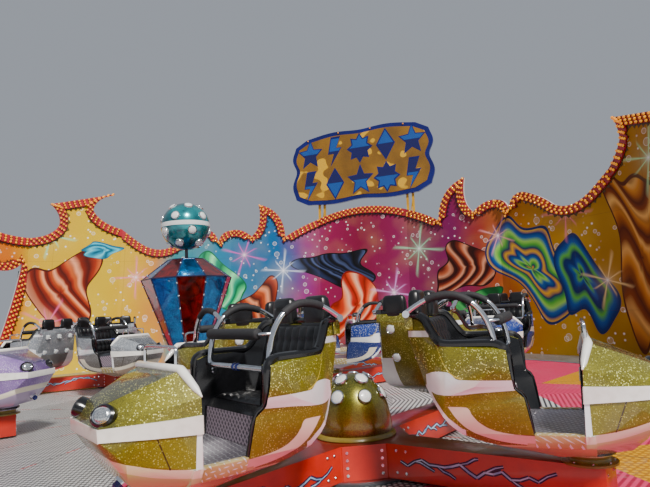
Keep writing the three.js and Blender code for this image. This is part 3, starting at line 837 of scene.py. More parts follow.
def tread_plate(name, dark, light, scale=26.0, lozenge_highlight=0.4, metallic=0.85):
    """Chequer plate: short raised lozenges that lie alternately across each other, painted near white on top
    as a painted highlight.
    """
    paint = Paint(name, metallic=metallic)
    place = paint.place()
    x, y, z = paint.split(place)
    a, b = (x + y + z) * scale, (x + z - y) * scale
    which = ((a.floor() + b.floor()) % 2.0).over(0.5)
    u, v = a % 1.0 - 0.5, b % 1.0 - 0.5
    one = (abs(u) * 4.2 + abs(v) * 1.25).under(0.62, 0.12)
    other = (abs(v) * 4.2 + abs(u) * 1.25).under(0.62, 0.12)
    raised = one * which | other * (1.0 - which)
    wear = paint.noise(place, 3.5, 6, 0.6)
    base = paint.mix(wear.over(0.5, 0.5), dark, light)
    # Painted highlight: the raised lozenges mixed towards near white
    paint.set(base_color=paint.mix(raised * lozenge_highlight, base, "eef0f2"), roughness=wear * 0.25 + 0.28)
    return paint.bump(raised, 0.7, 0.0025)


def kick_plate():
    """Grey-lilac rubber facing with a diagonal hatch."""
    paint = Paint("hatched kick plate", roughness=0.5)
    x, y, z = paint.split(paint.own())
    rising = abs((y + z + x) * 18.0 % 1.0 - 0.5).under(0.2, 0.1)
    falling = abs((y - z - x) * 18.0 % 1.0 - 0.5).under(0.16, 0.1)
    hatch = rising | falling
    paint.set(base_color=paint.mix(hatch, "4a404c", "9a8c98"))
    return paint.bump(hatch, 0.5, 0.002)


def steel_paint(name, dark, light, roughness=0.45, rust=0.12):
    """Painted steel with soft stains and a trace of rust."""
    paint = Paint(name, roughness=roughness, coat_weight=0.15)
    place = paint.place()
    base, stains = paint.mottled(place, 1.7, 6, dark, light, roughness=0.62)
    spots = paint.noise(place, 22, 5, 0.7).over(0.68, 0.06) * stains.over(0.5, 0.1)
    paint.set(base_color=paint.mix(spots * rust * 4, base, "5c3620"))
    return paint.bump(paint.noise(place, 60, 3), 0.12, 0.002)


def arm_paint():
    """Orange-red gloss paint of the arms, with painted shade: a darker red-brown where it faces up."""
    paint = Paint("orange-red arm paint", coat_weight=0.5, coat_roughness=0.15)
    place = paint.place()
    up = paint.split(paint.node("NewGeometry", "Normal"))[2]
    side, stains = paint.mottled(place, 3.0, 6, "a81400", "cc2804", roughness=0.6)
    # Painted shade: the faces that look up in a darker red-brown
    top, _ = paint.mottled(place, 3.0, 6, "600c06", "8c180a", roughness=0.6)
    chips = paint.noise(place, 45, 4, 0.7).over(0.71, 0.03)
    base = paint.layers(side, (up.over(0.7, 0.1), top), (chips * 0.6, "3b1712"))
    paint.set(base_color=base, roughness=stains * 0.3 + 0.25)
    return paint.bump(stains, 0.1, 0.003)


def dome_paint():
    """Olive-gold metallic lacquer of the hub domes with an amber-brown shade low down."""
    paint = Paint("olive-gold dome", metallic=0.7, roughness=0.3, coat_weight=0.8, coat_roughness=0.08)
    place = paint.place()
    z = paint.split(paint.own())[2]
    grain = paint.split(paint.cells(place, 120, "Color"))[0]
    tone = paint.ramp((z - 0.35) * 1.55, [(0.0, "4a2404"), (0.3, "7a5008"),
                                          (0.6, "56540c"), (1.0, "3c440c")])
    paint.set(base_color=paint.mix(grain * 0.3, tone, "b0a838"))
    return paint.bump(grain, 0.12, 0.0006)


def mirror_facets():
    """Alternate red and blue mirror facets with ripples."""
    paint = Paint("red and blue mirror facets", metallic=0.9, coat_weight=0.8, coat_roughness=0.03)
    x, y, z = paint.split(paint.own())
    turn = x.maths("ARCTAN2", y, x) * (PILLAR_SIDES / (2 * pi)) - PILLAR_TURN * PILLAR_SIDES / 360
    sector = (turn + PILLAR_SIDES).floor() % 2.0
    ripple = paint.noise(paint.own(), 5.0, 3, 0.6, 0.8)
    tier = z.over(PILLAR_CROWN[1], 0.01)
    flip = abs(sector.over(0.5) - tier)
    red = paint.mix(ripple.over(0.5, 0.4), "4a0408", "c81812")
    blue = paint.mix(ripple.over(0.5, 0.4), "043c80", "20a0f0")
    paint.set(base_color=paint.mix(flip, red, blue), roughness=ripple * 0.25 + 0.06)
    return paint.bump(ripple, 0.35, 0.01)


def ball_paint():
    """Teal ball with a thin white band."""
    paint = Paint("teal ball", metallic=0.55, roughness=0.22, coat_weight=1.0)
    z = paint.split(paint.own())[2]
    equator = z.within(BALL_CENTRE - 0.02, BALL_CENTRE + 0.06, 0.004)
    teal, _ = paint.mottled(paint.own(), 3.5, 4, "024c58", "109ca4", 0.4, 0.6)
    return paint.set(base_color=paint.mix(equator, teal, "e8ecea"), metallic=0.55 - equator * 0.5)


def bulb_glass():
    """Golden cabochon bulbs, glowing faintly."""
    paint = Paint("golden bulb", roughness=0.12, coat_weight=1.0, transmission_weight=0.15)
    amber, _ = paint.mottled(paint.place(), 23, 2, "d87404", "fcb828", 0.3)
    return paint.set(base_color=amber, emission_color=amber, emission_strength=0.5)


# Turntable floor: turn of its first seam, the many-sided bare field and the pink panels around it
FLOOR_TURN = radians(4)
FLOOR_SEAM = 2 * pi / 16
FLOOR_FIELD = 6.28
FLOOR_NOTCH = 0.19
PANEL_HALF = 2.62
PANEL_START = 5.9
PANEL_TAPER = 0.34
RIBS_PER_METRE = 14.0
DASH_STEP = 0.74
DASH_LENGTH = 0.25
SEAM_START = 1.2


def folded(turn, period):
    """The angle from the nearest of evenly spaced directions."""
    return abs((turn + (10 * period + period / 2)) % period - period / 2)


def studs(x, y, pitch):
    """Small round studs in a staggered grid."""
    row = y * (1 / pitch)
    shift = (row.floor() % 2.0) * 0.5
    a = (x * (1 / pitch) + shift) % 1.0 - 0.5
    b = row % 1.0 - 0.5
    return (a * a + b * b).under(0.11, 0.08)


def floor_paint():
    """Ribbed aluminium inside, pink panels and yellow fields outside, and seams with red dashes; the ribs and
    studs are painted lighter than the darker ground between them as painted highlight and shade.
    """
    paint = Paint("turntable floor", specular_ior_level=0.3)
    shift, tilt = tuple(PLATFORM.translation), PLATFORM.to_euler()
    place = paint.turned(paint.place(), True, location=shift, rotation=tilt)
    x, y, _ = paint.split(place)
    radius, turn = polar(paint, x, y)
    turn = turn - FLOOR_TURN
    seam_turn = folded(turn, FLOOR_SEAM)
    panel_turn = folded(turn, 2 * FLOOR_SEAM)
    bare = radius.under(FLOOR_FIELD - seam_turn * (2 * FLOOR_NOTCH / FLOOR_SEAM), 0.006)
    along = radius * panel_turn.cosine()
    across = radius * panel_turn.sine()
    pink_share = (across + (along - PANEL_START) * PANEL_TAPER).under(PANEL_HALF, 0.006)
    rib = abs(radius * seam_turn.cosine() * RIBS_PER_METRE % 1.0 - 0.5).under(0.27, 0.15)
    bumps = studs(x, y, 0.06)
    ribbed = radius.over(3.65, 0.01) * (y + abs(x) * 0.18).over(0, 0.01)
    relief = paint.mix(ribbed, bumps, rib)
    worn = paint.noise(place, 1.3, 6, 0.62)
    fine = paint.noise(place, 14, 4, 0.6)
    # Painted highlight and shade: ribs and studs near white over a darker ground, pink ribs lighter than
    # their troughs, yellow studs lighter than their ground
    grey = paint.mix(relief, paint.mix(ribbed, "646466", "46484e"), "e4e4e2")
    pink = paint.mix(rib, "a81840", "dc3c6c")
    yellow = paint.mix(studs(x, y, 0.08), "b07400", "dca000")
    base = paint.mix(bare, paint.mix(pink_share, yellow, pink), grey)
    scuffs = worn.over(0.56, 0.12) * fine.over(0.52, 0.1)
    from_seam = seam_turn * radius
    seam = from_seam.under(0.009, 0.005) * radius.over(SEAM_START)
    dashed = ((radius + 0.08) % DASH_STEP).under(DASH_LENGTH, 0.01)
    dash = from_seam.under(0.013, 0.005) * dashed * bare * radius.over(SEAM_START)
    base = paint.layers(base, (scuffs * 0.25, "8f8c86"), (seam, "3a3a3e"), (dash, "c01418"))
    paint.set(base_color=base, metallic=bare * 0.4 * (1.0 - scuffs), roughness=worn * 0.25 + 0.34)
    return paint.bump(relief - seam, 0.45, 0.003)


def rim_paint():
    """Red rim boards."""
    paint = Paint("red rim", roughness=0.35, coat_weight=0.5)
    base, _ = paint.mottled(paint.own(), 2.3, 5, "8c0c1c", "b8182c", 0.4, 0.6)
    return paint.set(base_color=base)


def starburst(paint, base, s, h, spot, reach, turned, tint):
    """A soft star of light with long and short rays around a white middle."""
    distance, turn = polar(paint, s - spot[0], h - spot[1])
    swing = (turn + turned) * (BURST_RAYS / 2)
    length = ((swing + pi / 4).sine() * 0.3 + 0.8) * reach
    light = (abs(swing.cosine()) ** 30.0) * ((1.0 - distance / length) | 0.0) ** 0.5
    glow = (distance * (-5.0 / reach)).exponent()
    core = (distance * (-18.0 / reach)).exponent()
    base = paint.mix((light + glow * 0.6) & 1.0, base, tint)
    return paint.mix(core, base, "ffffff")


def ribbons(paint, base, s, h, centre, size, lean, rings, tint):
    """Curling airbrushed ribbons inside a lobed outline, along it or, by a share, in rings."""
    a = (s - centre[0]) * (1 / size[0])
    b = (h - centre[1]) * (1 / size[1])
    a = a + (b * 2.3 + lean * 3).sine() * 0.3
    b = b + (a * 2.7 + lean * 5).sine() * 0.24
    distance, turn = polar(paint, a, b)
    lobes = distance + (turn * 5.0 + lean * 7).sine() * 0.08 + (turn * 3.0 + lean).cosine() * 0.07
    along = a * (cos(lean) * 1.3) + b * (sin(lean) * 1.3) + (a * 3.3 + b * 1.9).sine() * 0.2
    flow = along * (1 - rings) + lobes * (rings * 0.9 + 0.3)
    body = paint.ramp((flow * 1.7 + 10.0) % 1.0, tint)
    strands = abs((flow * 9.0 + a).sine()) ** 10.0
    body = paint.mix(strands * (0.35 - rings * 0.3), body, tint[0][1])
    base = paint.mix(lobes.under(0.92, 0.012), base, body)
    return paint.mix(lobes.within(0.89, 0.94, 0.012), base, tint[0][1])


def tones(*codes):
    """Colour stops at even steps that end as they begin."""
    stops = [[level ** 1.2 for level in colour(code)] for code in (*codes, codes[0])]
    return [(i / (len(stops) - 1), tuple(stop)) for i, stop in enumerate(stops)]


# Blend of the wall's ground along its run, as (azimuth, colour)
WALL_BLEND = [
    (-78, "f07808"), (-66, "f48808"), (-63, "fcd008"), (-52, "fcdc10"), (-45, "f8c808"), (-41, "f0a850"),
    (-38, "34a8b4"), (-28, "0898c0"), (-18, "1078b8"), (-12, "a83498"), (-8, "b01c68"), (0, "9c1450"),
    (8, "a41c6c"), (18, "982074"), (26, "c04c30"), (31, "d89018"), (40, "d8ac20"), (50, "d09c18"),
    (60, "d07818"), (78, "d06010"),
]

# Big motifs on the boards: azimuth, height, half sizes, lean, share of rings and tones
MOTIFS = [
    (-57.0, 2.9, 1.15, 1.4, 0.5, 0.0, tones("5c1808", "a83c18", "dc7838", "f4b088", "8c2c10")),
    (-52.5, 4.2, 0.7, 0.3, 1.2, 0.6, tones("086880", "18a8c8", "78dcec", "1090ac")),
    (-31.0, 2.7, 1.1, 1.1, -0.4, 0.0, tones("0c7850", "34c884", "98f4b8", "18a888")),
    (-22.0, 1.6, 0.9, 1.2, 0.7, 0.0, tones("541808", "983c18", "cc6830", "e8a078")),
    (-4.5, 3.2, 1.45, 0.75, 0.3, 0.0, tones("08080c", "1c2030", "586890", "101018", "303c60")),
    (-3.0, 1.7, 1.0, 1.2, -0.6, 0.2, tones("8c2008", "dc4c18", "f49460", "f8c4a4", "c83410")),
    (19.5, 2.7, 1.15, 0.85, -0.5, 0.0, tones("341008", "7c2c18", "b86844", "dca080", "4c1c10")),
    (23.5, 1.4, 0.85, 0.8, 0.4, 0.3, tones("085028", "18803c", "58b86c", "106430")),
    (33.5, 2.7, 1.35, 1.6, 0.1, 1.0, tones("0c3870", "58b848", "a0dc68", "1c6cb0", "103c84", "e8b820")),
    (42.0, 1.9, 0.85, 1.3, -0.2, 1.0, tones("0c3870", "68c050", "1c64ac", "103c84")),
    (51.0, 3.0, 0.9, 2.3, 1.5, 0.0, tones("6c3410", "b06c20", "d8983c", "ecc070", "94501c")),
    (59.5, 2.4, 0.9, 1.2, 0.6, 0.2, tones("541808", "a83c18", "dc7838", "f0a878")),
    (-70.5, 2.9, 0.7, 0.9, 0.4, 0.2, tones("541808", "b03c0c", "e88428", "f4c070")),
    (70.5, 2.9, 0.7, 0.9, 0.4, 0.2, tones("541808", "b03c0c", "e88428", "f4c070")),
]

# Stars of light: azimuth, height, reach, turn and colour
BURST_RAYS = 8
BURSTS = [
    (-61.0, 4.7, 0.85, 0.2, "90f0c0"), (-60.5, 1.7, 0.9, 0.5, "f068a0"), (-45.5, 3.2, 0.8, 0.0, "f878a8"),
    (-38.0, 2.2, 0.7, 0.4, "c8f4ff"), (-24.5, 3.9, 0.9, 0.3, "e058c0"), (-16.5, 3.2, 0.85, 0.1, "d8e8ff"),
    (-13.0, 1.4, 0.8, 0.6, "ff9cd0"), (6.0, 2.1, 0.9, 0.2, "e0a0e8"), (11.5, 3.6, 1.0, 0.15, "98e8b8"),
    (14.5, 1.3, 0.8, 0.5, "b070f0"), (27.0, 3.7, 0.7, 0.4, "ffb0b8"), (40.5, 4.0, 0.85, 0.1, "f488a0"),
    (46.0, 2.0, 0.8, 0.3, "ffe49c"), (55.5, 4.9, 1.0, 0.2, "b8f0b0"), (61.5, 3.6, 0.8, 0.5, "f488a0"),
]


def wall_ground(paint, s, place, shade=0.66):
    """The boards' ground colour along the wall, whole or darkened."""
    half = WALL_RADIUS * radians(SEAMS["wing"])
    cloud = paint.noise(place, 0.42, 3, 0.5) - 0.5
    share = (s + cloud * 2.0) * (0.5 / half) + 0.5
    stops = []
    for azimuth, code in WALL_BLEND:
        deep = [shade * level ** 1.15 for level in colour(code)[:3]]
        stops.append(((azimuth / SEAMS["wing"] + 1) / 2, (*deep, 1.0)))
    return paint.ramp(share & 1.0, stops)


def rim_shadow_paint():
    """Painted shadow under the rim: dark teeth in a deep tone of the ground around them."""
    paint = Paint("toothed shade", roughness=0.4, coat_weight=0.3)
    s, h, _ = paint.split(paint.own())
    return paint.set(base_color=wall_ground(paint, s, paint.joined(s, h), 0.12))


def bubbles(paint, base, place, scale, radius):
    """Rings with a faint fill, in some cells of a scale."""
    gap = paint.cells(place, scale, dimensions="2D") * (1 / scale)
    pick = paint.split(paint.cells(place, scale, "Color", "2D"))
    wide = pick[1] * (radius * 0.7) + radius * 0.6
    bubble = abs(gap - wide).under(0.008, 0.008) * 0.55 | gap.under(wide) * 0.12
    return paint.mix(bubble * pick[0].over(0.62, 0.01), base, "ffffff")


def small_stars(paint, base, place, scale, tint):
    """Clusters of five-pointed stars."""
    offset = paint.node("VectorMath", 0, {"operation": "SUBTRACT"}, vector=place)
    feed(paint.tree, offset.socket.node.inputs[1], paint.cells(place, scale, "Position", "2D"))
    pick = paint.split(paint.cells(place, scale, "Color", "2D"))
    a, b, _ = paint.split(offset)
    distance, turn = polar(paint, a, b)
    point = folded(turn + pick[2] * 3.0, 2 * pi / 5) * (5 / pi)
    star = distance.under(0.1 - point * 0.062, 0.006)
    return paint.mix(star * paint.noise(place, 0.85, 1).over(0.6, 0.03), base, tint)


def wall_art():
    """Airbrushed colour blends with curling ribbons, stars of light, bubbles and small stars."""
    paint = Paint("airbrushed boards", roughness=0.5, specular_ior_level=0.25)
    s, h, _ = paint.split(paint.own())
    place = paint.joined(s, h)
    metres = WALL_RADIUS * pi / 180
    base = wall_ground(paint, s, place)
    base = paint.mix(paint.noise(place, 0.7, 2).over(0.6, 0.3) * 0.12, base, "ffe860")
    for scale, radius in ((2.2, 0.055), (1.5, 0.08)):
        base = bubbles(paint, base, place, scale, radius)
    dots = paint.cells(place, 3.4, dimensions="2D").under(0.09, 0.09)
    base = paint.mix(dots * paint.noise(place, 1.4, 2).over(0.55, 0.1) * 0.9, base, "ffffff")
    for azimuth, height, wide, tall, lean, rings, tint in MOTIFS:
        base = ribbons(paint, base, s, h, (azimuth * metres, height), (wide, tall), lean, rings, tint)
    for azimuth, height, reach, turned, tint in BURSTS:
        base = starburst(paint, base, s, h, (azimuth * metres, height), reach, turned, tint)
    tint = paint.mix(s.within(-41 * metres, 27 * metres, 0.3), "0c8018", "f0dc10")
    for scale in (2.3, 3.1):
        base = small_stars(paint, base, place, scale, tint)
    upright = abs((s + 0.6) % 2.4 - 1.2).under(0.006, 0.004)
    level = abs((h + 0.1) % 2.6 - 1.3).under(0.005, 0.004)
    return paint.set(base_color=paint.mix((upright | level) * 0.3, base, "4a2a20"))


def board_back():
    """Plain grey-white back of the boards."""
    paint = Paint("board back", roughness=0.6)
    place = paint.place()
    base, _ = paint.mottled(place, 0.9, 6, "b9b6ae", "dcd9d2", roughness=0.65)
    streak = paint.noise(paint.turned(place, scale=(6, 6, 0.4)), 1.0, 4)
    return paint.set(base_color=paint.mix(streak.over(0.6, 0.2) * 0.3, base, "8d877b"))


def sign_field():
    """Ochre sign field with a few golden glints."""
    paint = Paint("ochre sign field", roughness=0.4, coat_weight=0.3)
    place = paint.own()
    base, _ = paint.mottled(place, 1.2, 3, "644408", "946810")
    return paint.set(base_color=paint.mix(paint.noise(place, 1.6, 1).over(0.62, 0.02), base, "d0a018"))


def sign_blue():
    """Two blues of the raised shapes, parted along each row's middle line."""
    paint = Paint("two blues", roughness=0.35, coat_weight=0.4)
    z = paint.split(paint.own())[2]
    upper_row = z.over(SIGN_MIDDLE + 0.05, 0.01)
    upper_light = upper_row * z.over(SIGN_ROWS[0] + 0.02, 0.01)
    lower_light = (1.0 - upper_row) * z.under(SIGN_ROWS[1] + 0.02, 0.01)
    pale = paint.mix(paint.noise(paint.own(), 3, 2) * 0.3, "08428c", "1c66b4")
    return paint.set(base_color=paint.mix(upper_light | lower_light, "0a0c50", pale))


RECIPES = {
    # Livery colours: upper, flake, darker facet tone for the painted shade on the nose, lower, lower flake
    # and keel
    "gold": lambda: livery_paint("gold", "4c4804", "a09a1c", "3c3c18", "686004", "a69608", "ccd094"),
    "blue": lambda: livery_paint("blue", "04206a", "0c46ac", "061a48", "051a58", "143c94", "c4ccd8"),
    "silver": lambda: livery_paint("silver", "5c6268", "b4bac2", "43474d", "50443c", "8c8478", "b89c84"),
    "purple": lambda: livery_paint("purple", "64408e", "c8a4e6", "402c60", "64408e", "c8a4e6", "b9a4c8"),
    "liner": lambda: plain("gloss black liner", "050506", "0f0f12", clouds(30, 3), clouds(120, 2), 0.08,
                           roughness=0.22, coat_weight=0.5, coat_roughness=0.1),
    "vinyl": lambda: plain("black seat vinyl", "060607", "121215", clouds(14, 4), facets(420), 0.3, 0.0006,
                           roughness=0.36, coat_weight=0.25, coat_roughness=0.2),
    "foam": lambda: plain("dark foam grip", "151517", "2e2e32", clouds(60, 4), clouds(300, 3), 0.5, 0.0012,
                          roughness=0.72),
    "lens": lambda: plain("white lamp lens", "fbfaf3", "cfd3d6", facets(130), facets(130), 0.3,
                          roughness=0.24, subsurface_weight=0.1, coat_weight=0.4),
    "reflector": lambda: plain("headlamp glass", "dfe4e8", "7d868e", facets(90), facets(90), 0.6, 0.002,
                               metallic=0.75, roughness=0.16, coat_weight=1.0),
    "white": lambda: plain("white trim", "f6f4ee", "c2b8a4", clouds(16, 5, 0.58, 0.25, 0.25),
                           roughness=0.28, coat_weight=0.5),
    "blue_cap": lambda: plain("dark blue cap", "0c1450", "1b2c86", clouds(40, 3),
                              roughness=0.25, coat_weight=0.5),
    "bolt_blue": lambda: plain("pale blue lightning paint", "5f8fc4", "c4dcf4", clouds(7, 3, 0.5, 0.4),
                               roughness=0.35, coat_weight=0.4),
    "ink": lambda: plain("dark outline paint", "0c1030", "221c44", clouds(9, 3),
                         roughness=0.4, coat_weight=0.3),
    "chrome": chrome,
    "cabin_floor": lambda: tread_plate("cabin floor plate", "6c6670", "a59ea8", 15.0, 0.8),
    "sill": lambda: tread_plate("aluminium sill plate", "b09850", "d8c48c", 13.0, 1.0, 0.3),
    "kick_plate": kick_plate,
    "deck": lambda: tread_plate("podium chequer plate", "7f8387", "b9bcbf", 16.0),
    "arm": arm_paint,
    "dome": dome_paint,
    "mirror": mirror_facets,
    "ball": ball_paint,
    "bulb": bulb_glass,
    "floor": floor_paint,
    "rim": rim_paint,
    "rim_shadow": rim_shadow_paint,
    "art": wall_art,
    "board_back": board_back,
    "sign": sign_field,
    "sign_blue": sign_blue,
    "dark_steel": lambda: steel_paint("dark grey steel", "2b2f33", "4a5056"),
    "yellow_steel": lambda: steel_paint("yellow steel", "b07c04", "d8a410", 0.4, 0.05),
    "brass": lambda: steel_paint("brass bearing", "5a4a14", "9a8436", 0.3, 0.05),
    "navy": lambda: steel_paint("dark blue gloss rim", "06084c", "0c1470", 0.3, 0.0),
    "socket": lambda: steel_paint("dark bulb socket", "3a1210", "5a1c16", 0.5, 0.0),
}


# Sizes and colours that a user would change


def length(name, description, usual, low, high):
    """A length that a user can change."""
    return bpy.props.FloatProperty(name=name, description=description, default=usual, min=low, max=high,
                                   unit="LENGTH")


def tint_choice(name, description, code):
    """A colour that a user can change."""
    return bpy.props.FloatVectorProperty(name=name, description=description, subtype="COLOR", size=4,
                                         default=colour(code))


class RideSizes(bpy.types.PropertyGroup):
    """Sizes of the ride's small fittings"""
    tube: length("Lap bar tube", "Radius of the lap bar's tube", 0.024, 0.01, 0.04)
    bulb: length("Rim bulb", "Radius of a bulb on the wall's rim", 0.04, 0.01, 0.06)
    bulb_step: length("Bulb step", "Distance between bulbs along the rim", 0.17, 0.05, 0.5)
    car_lamp: length("Car lamp", "Radius of the round lamps on a car's back", 0.06, 0.03, 0.1)
    dome_lamp: length("Dome lamp", "Radius of the round lamps on a hub dome", 0.074, 0.03, 0.1)
    edge: length("Edge rounding", "Rounding of the cars' moulded edges", 0.014, 0.002, 0.03)


class RideColours(bpy.types.PropertyGroup):
    """Colours of the studio around the ride"""
    floor: tint_choice("Studio floor", "Colour of the floor under the ride", "cfd0d2")
    sky: tint_choice("Studio light", "Colour of the light all around", "c4cbd6")


class RideOperator:
    """What all the steps share."""
    bl_options = {"REGISTER", "UNDO"}

    def execute(self, context):
        self.build(context.scene.ride_sizes, context.scene.ride_colours)
        return {"FINISHED"}


# Stage

SENSOR = 36
KEY_ENERGY = 5.2
KEY_SPREAD = radians(9)
KEY_TINT = (1.0, 0.96, 0.9)
KEY_TURN = (radians(43), radians(12), radians(28))
SKY_STRENGTH = 0.6
FLOOR_REACH = 60
FLOOR_LEVEL = -0.002


class RIDE_OT_stage(RideOperator, bpy.types.Operator):
    """Sets the camera, the soft light and the plain floor"""
    bl_idname = "ride.stage"
    bl_label = "Stage"

    def build(self, sizes, colours):
        level = Vector((sin(EYE_YAW), cos(EYE_YAW), 0))
        side = Vector((cos(EYE_YAW), -sin(EYE_YAW), 0))
        ahead = cos(EYE_PITCH) * level + sin(EYE_PITCH) * UP
        above = cos(EYE_PITCH) * UP - sin(EYE_PITCH) * level
        right = cos(EYE_ROLL) * side + sin(EYE_ROLL) * above
        upright = cos(EYE_ROLL) * above - sin(EYE_ROLL) * side
        data = bpy.data.cameras.new("Camera")
        data.lens = LENS
        data.sensor_width = SENSOR
        data.sensor_fit = "HORIZONTAL"
        data.clip_start = 0.05
        data.clip_end = 300
        camera = in_scene("Camera", data)
        camera.matrix_world = basis(right, upright, -ahead, Vector(EYE))
        bpy.context.scene.camera = camera
        self.light(colours)
        self.floor(colours)

    def light(self, colours):
        """A soft high key light from the right and the front, and a pale surround."""
        data = bpy.data.lights.new("Key", "SUN")
        data.energy = KEY_ENERGY
        data.angle = KEY_SPREAD
        data.color = KEY_TINT
        in_scene("Key", data).rotation_euler = KEY_TURN
        world = bpy.data.worlds.new("Studio")
        world.use_nodes = True
        background = world.node_tree.nodes["Background"]
        background.inputs["Color"].default_value = colours.sky[:]
        background.inputs["Strength"].default_value = SKY_STRENGTH
        bpy.context.scene.world = world

    def floor(self, colours):
        """A plain floor under the ride."""
        signs = ((-1, -1), (1, -1), (1, 1), (-1, 1))
        corners = [(FLOOR_REACH * a, FLOOR_REACH * b, FLOOR_LEVEL) for a, b in signs]
        mesh = bpy.data.meshes.new("studio_floor")
        mesh.from_pydata(corners, [], [(0, 1, 2, 3)])
        paint = Paint("studio floor", roughness=0.8)
        soft = paint.noise(paint.place(), 0.3, 2)
        paint.set(base_color=paint.mix(soft * 0.08, colours.floor[:], (1, 1, 1, 1)))
        mesh.materials.append(paint.material)
        floor = in_scene("studio_floor", mesh)


# Cars

# Middle of the cabin's edge, as (forwards, sideways, height), from the sill up and back
CAR_OPENING = [(-0.366, 0.535, 0.67), (-0.405, 0.578, 0.935), (-0.466, 0.6, 1.004), (-0.482, 0.625, 1.1),
               (-0.5, 0.63, 1.26), (-0.53, 0.622, 1.312), (-0.6, 0.605, 1.335), (-0.8, 0.59, 1.337),
               (-0.97, 0.57, 1.34), (-1.03, 0.545, 1.375), (-1.09, 0.515, 1.465), (-1.14, 0.487, 1.545),
               (-1.2, 0.46, 1.572), (-1.262, 0.435, 1.576)]
SEAT_FRONT = (-0.64, 0.952)
SEAT_BACK = (-1.0, 0.935)
BACKREST_FOOT = (-1.045, 0.96)
BACKREST_TOP = (-1.178, 1.545)
SHELL_TOP = 1.5625
CABIN_MIDDLE = (-0.3, 0.0, 1.0)
LAMP_ROWS = ((1.38, -1.288, -0.08), (1.03, -1.166, -0.3))
LAMP_PLACES = (-0.3, 0.0, 0.3)
FITTINGS = ("chrome", "liner", "white", "kick_plate", "lens", "reflector", "blue_cap", "sill")

# Corners of the nose's left half, as (forwards, sideways, height), and its headlamp's middle and direction
NOSE_SHOULDER = (0.009, 0.619, 1.137)
NOSE_CROWN = (0.069, 0.427, 1.31)
NOSE_BACK = -0.03
HEADLAMP = (0.548, 0.292, 1.06)
HEADLAMP_OUT = (0.74, 0.52, 0.42)
HEADLAMP_OVAL = (1.12, 0.92, 1, 1)
HEADLAMP_GLASS = 0.056

# Plug under the nose, catch on the cabin's side and handle behind the nose
PLUG_MIDDLE = (0.36, 0.12, 0.6)
PLUG_OUT = (0.8, 0, -0.6)
CATCH_MIDDLE = (-0.655, 0.552, 1.19)
HANDLE_RADIUS = 0.0125
LINER_RADIUS = 0.036
KICK_HALF_WIDTH = 0.495

# Strips on the sills and behind the seat's sides: middle, then the lower and upper corner as (x, z)
SILL_STRIP = (0.53, (-0.36, 0.6605), (-0.02, 0.667))
SEAT_STRIP = (0.441, (-1.302, 1.46), (-1.24, 1.618))
STRIP_HALF_WIDTH = 0.03

# Planes around the raised parts of the shell, as (point, direction out of the part)
BELT_CUTS = (((NOSE_BACK, 0, 0), (-1, 0, 0)), ((0, 0, 1.018), (0.0553, 0, 1)),
             ((0, 0, 0.894), (0.0184, 0, -1)))
SILL_CUTS = (((-0.36, 0, 0), (-1, 0, 0)), ((-0.024, 0, 0), (1, 0, 0)), ((0, 0, 0.668), (0, 0, 1)),
             ((0, 0, 0.555), (0, 0, -1)))
BELT_PROUD = 0.012
SILL_PROUD = 0.004

# Turned and bent parts of a car, as (radius, height) or (forwards, sideways, height)
BEZEL = [(0, -0.06), (0.078, -0.06), (0.086, -0.01), (0.084, 0.02), (0.07, 0.032), (0.062, 0.026), (0, 0.02)]
BEZEL_RIM = [(0, 0.015), (0.062, 0.015), (0.066, 0.026), (0.06, 0.032), (0.054, 0.028), (0, 0.024)]
CATCH = [(0, -0.01), (0.034, -0.01), (0.036, 0.012), (0.026, 0.022), (0, 0.024)]
PLUG_BODY = [(0, -0.05), (0.05, -0.05), (0.056, 0.0), (0.05, 0.05), (0, 0.06)]
PLUG_CAP = [(0, 0.05), (0.034, 0.05), (0.036, 0.085), (0.02, 0.1), (0, 0.102)]
PIVOT_DRUM = [(0, 0.4215), (0.18, 0.4215), (0.205, 0.432), (0.205, 0.452), (0.16, 0.462), (0.13, 0.53),
              (0, 0.53)]
HANDLE = [(0.055, 0.31, 1.3), (0.053, 0.312, 1.425), (0.05, 0.295, 1.452), (0.05, 0.25, 1.46),
          (0.05, 0, 1.462)]
KICK_PLATE = [(-0.549, 0.888), (-0.531, 0.664), (-0.527, 0.664), (-0.545, 0.89)]

# Sections of a headrest, as (height, half depth, half width)
HEADREST = ((1.5, 0.045, 0.13), (1.53, 0.056, 0.148), (1.62, 0.058, 0.152), (1.7, 0.057, 0.15),
            (1.76, 0.05, 0.138), (1.785, 0.034, 0.115), (1.79, 0.012, 0.08))
HEADREST_MIDDLE = (-1.24, 0.25)
HEADREST_SIDES = 20
QUILT_STEPS = 6


def cut_away(work, point, out):
    """Removes what lies beyond a plane and gives the edges along it."""
    everything = [*work.verts, *work.edges, *work.faces]
    cut = bmesh.ops.bisect_plane(work, geom=everything, dist=1e-5, plane_co=point, plane_no=out,
                                 clear_outer=True)
    return [item for item in cut["geom_cut"] if isinstance(item, bmesh.types.BMEdge)]


def shell_mesh(name, place, edge):
    """The car's shell: a softened copy of its solid in its own frame, with the cabin in black."""
    mesh = merged_copy(name)
    mesh.transform(place.inverted())
    work = opened(mesh)
    bmesh.ops.holes_fill(work, edges=cut_away(work, (0, 0, SHELL_TOP), UP))
    bmesh.ops.recalc_face_normals(work, faces=work.faces)
    work.normal_update()
    for face in work.faces:
        middle = face.calc_center_median()
        inside = face.normal.dot(Vector(CABIN_MIDDLE) - middle) > 0
        floor = inside and face.normal.z > 0.9 and middle.z < 0.7
        face.material_index = 2 if floor else 1 if inside else 0
    closed(work, mesh)
    return rounded(mesh, edge, 32)


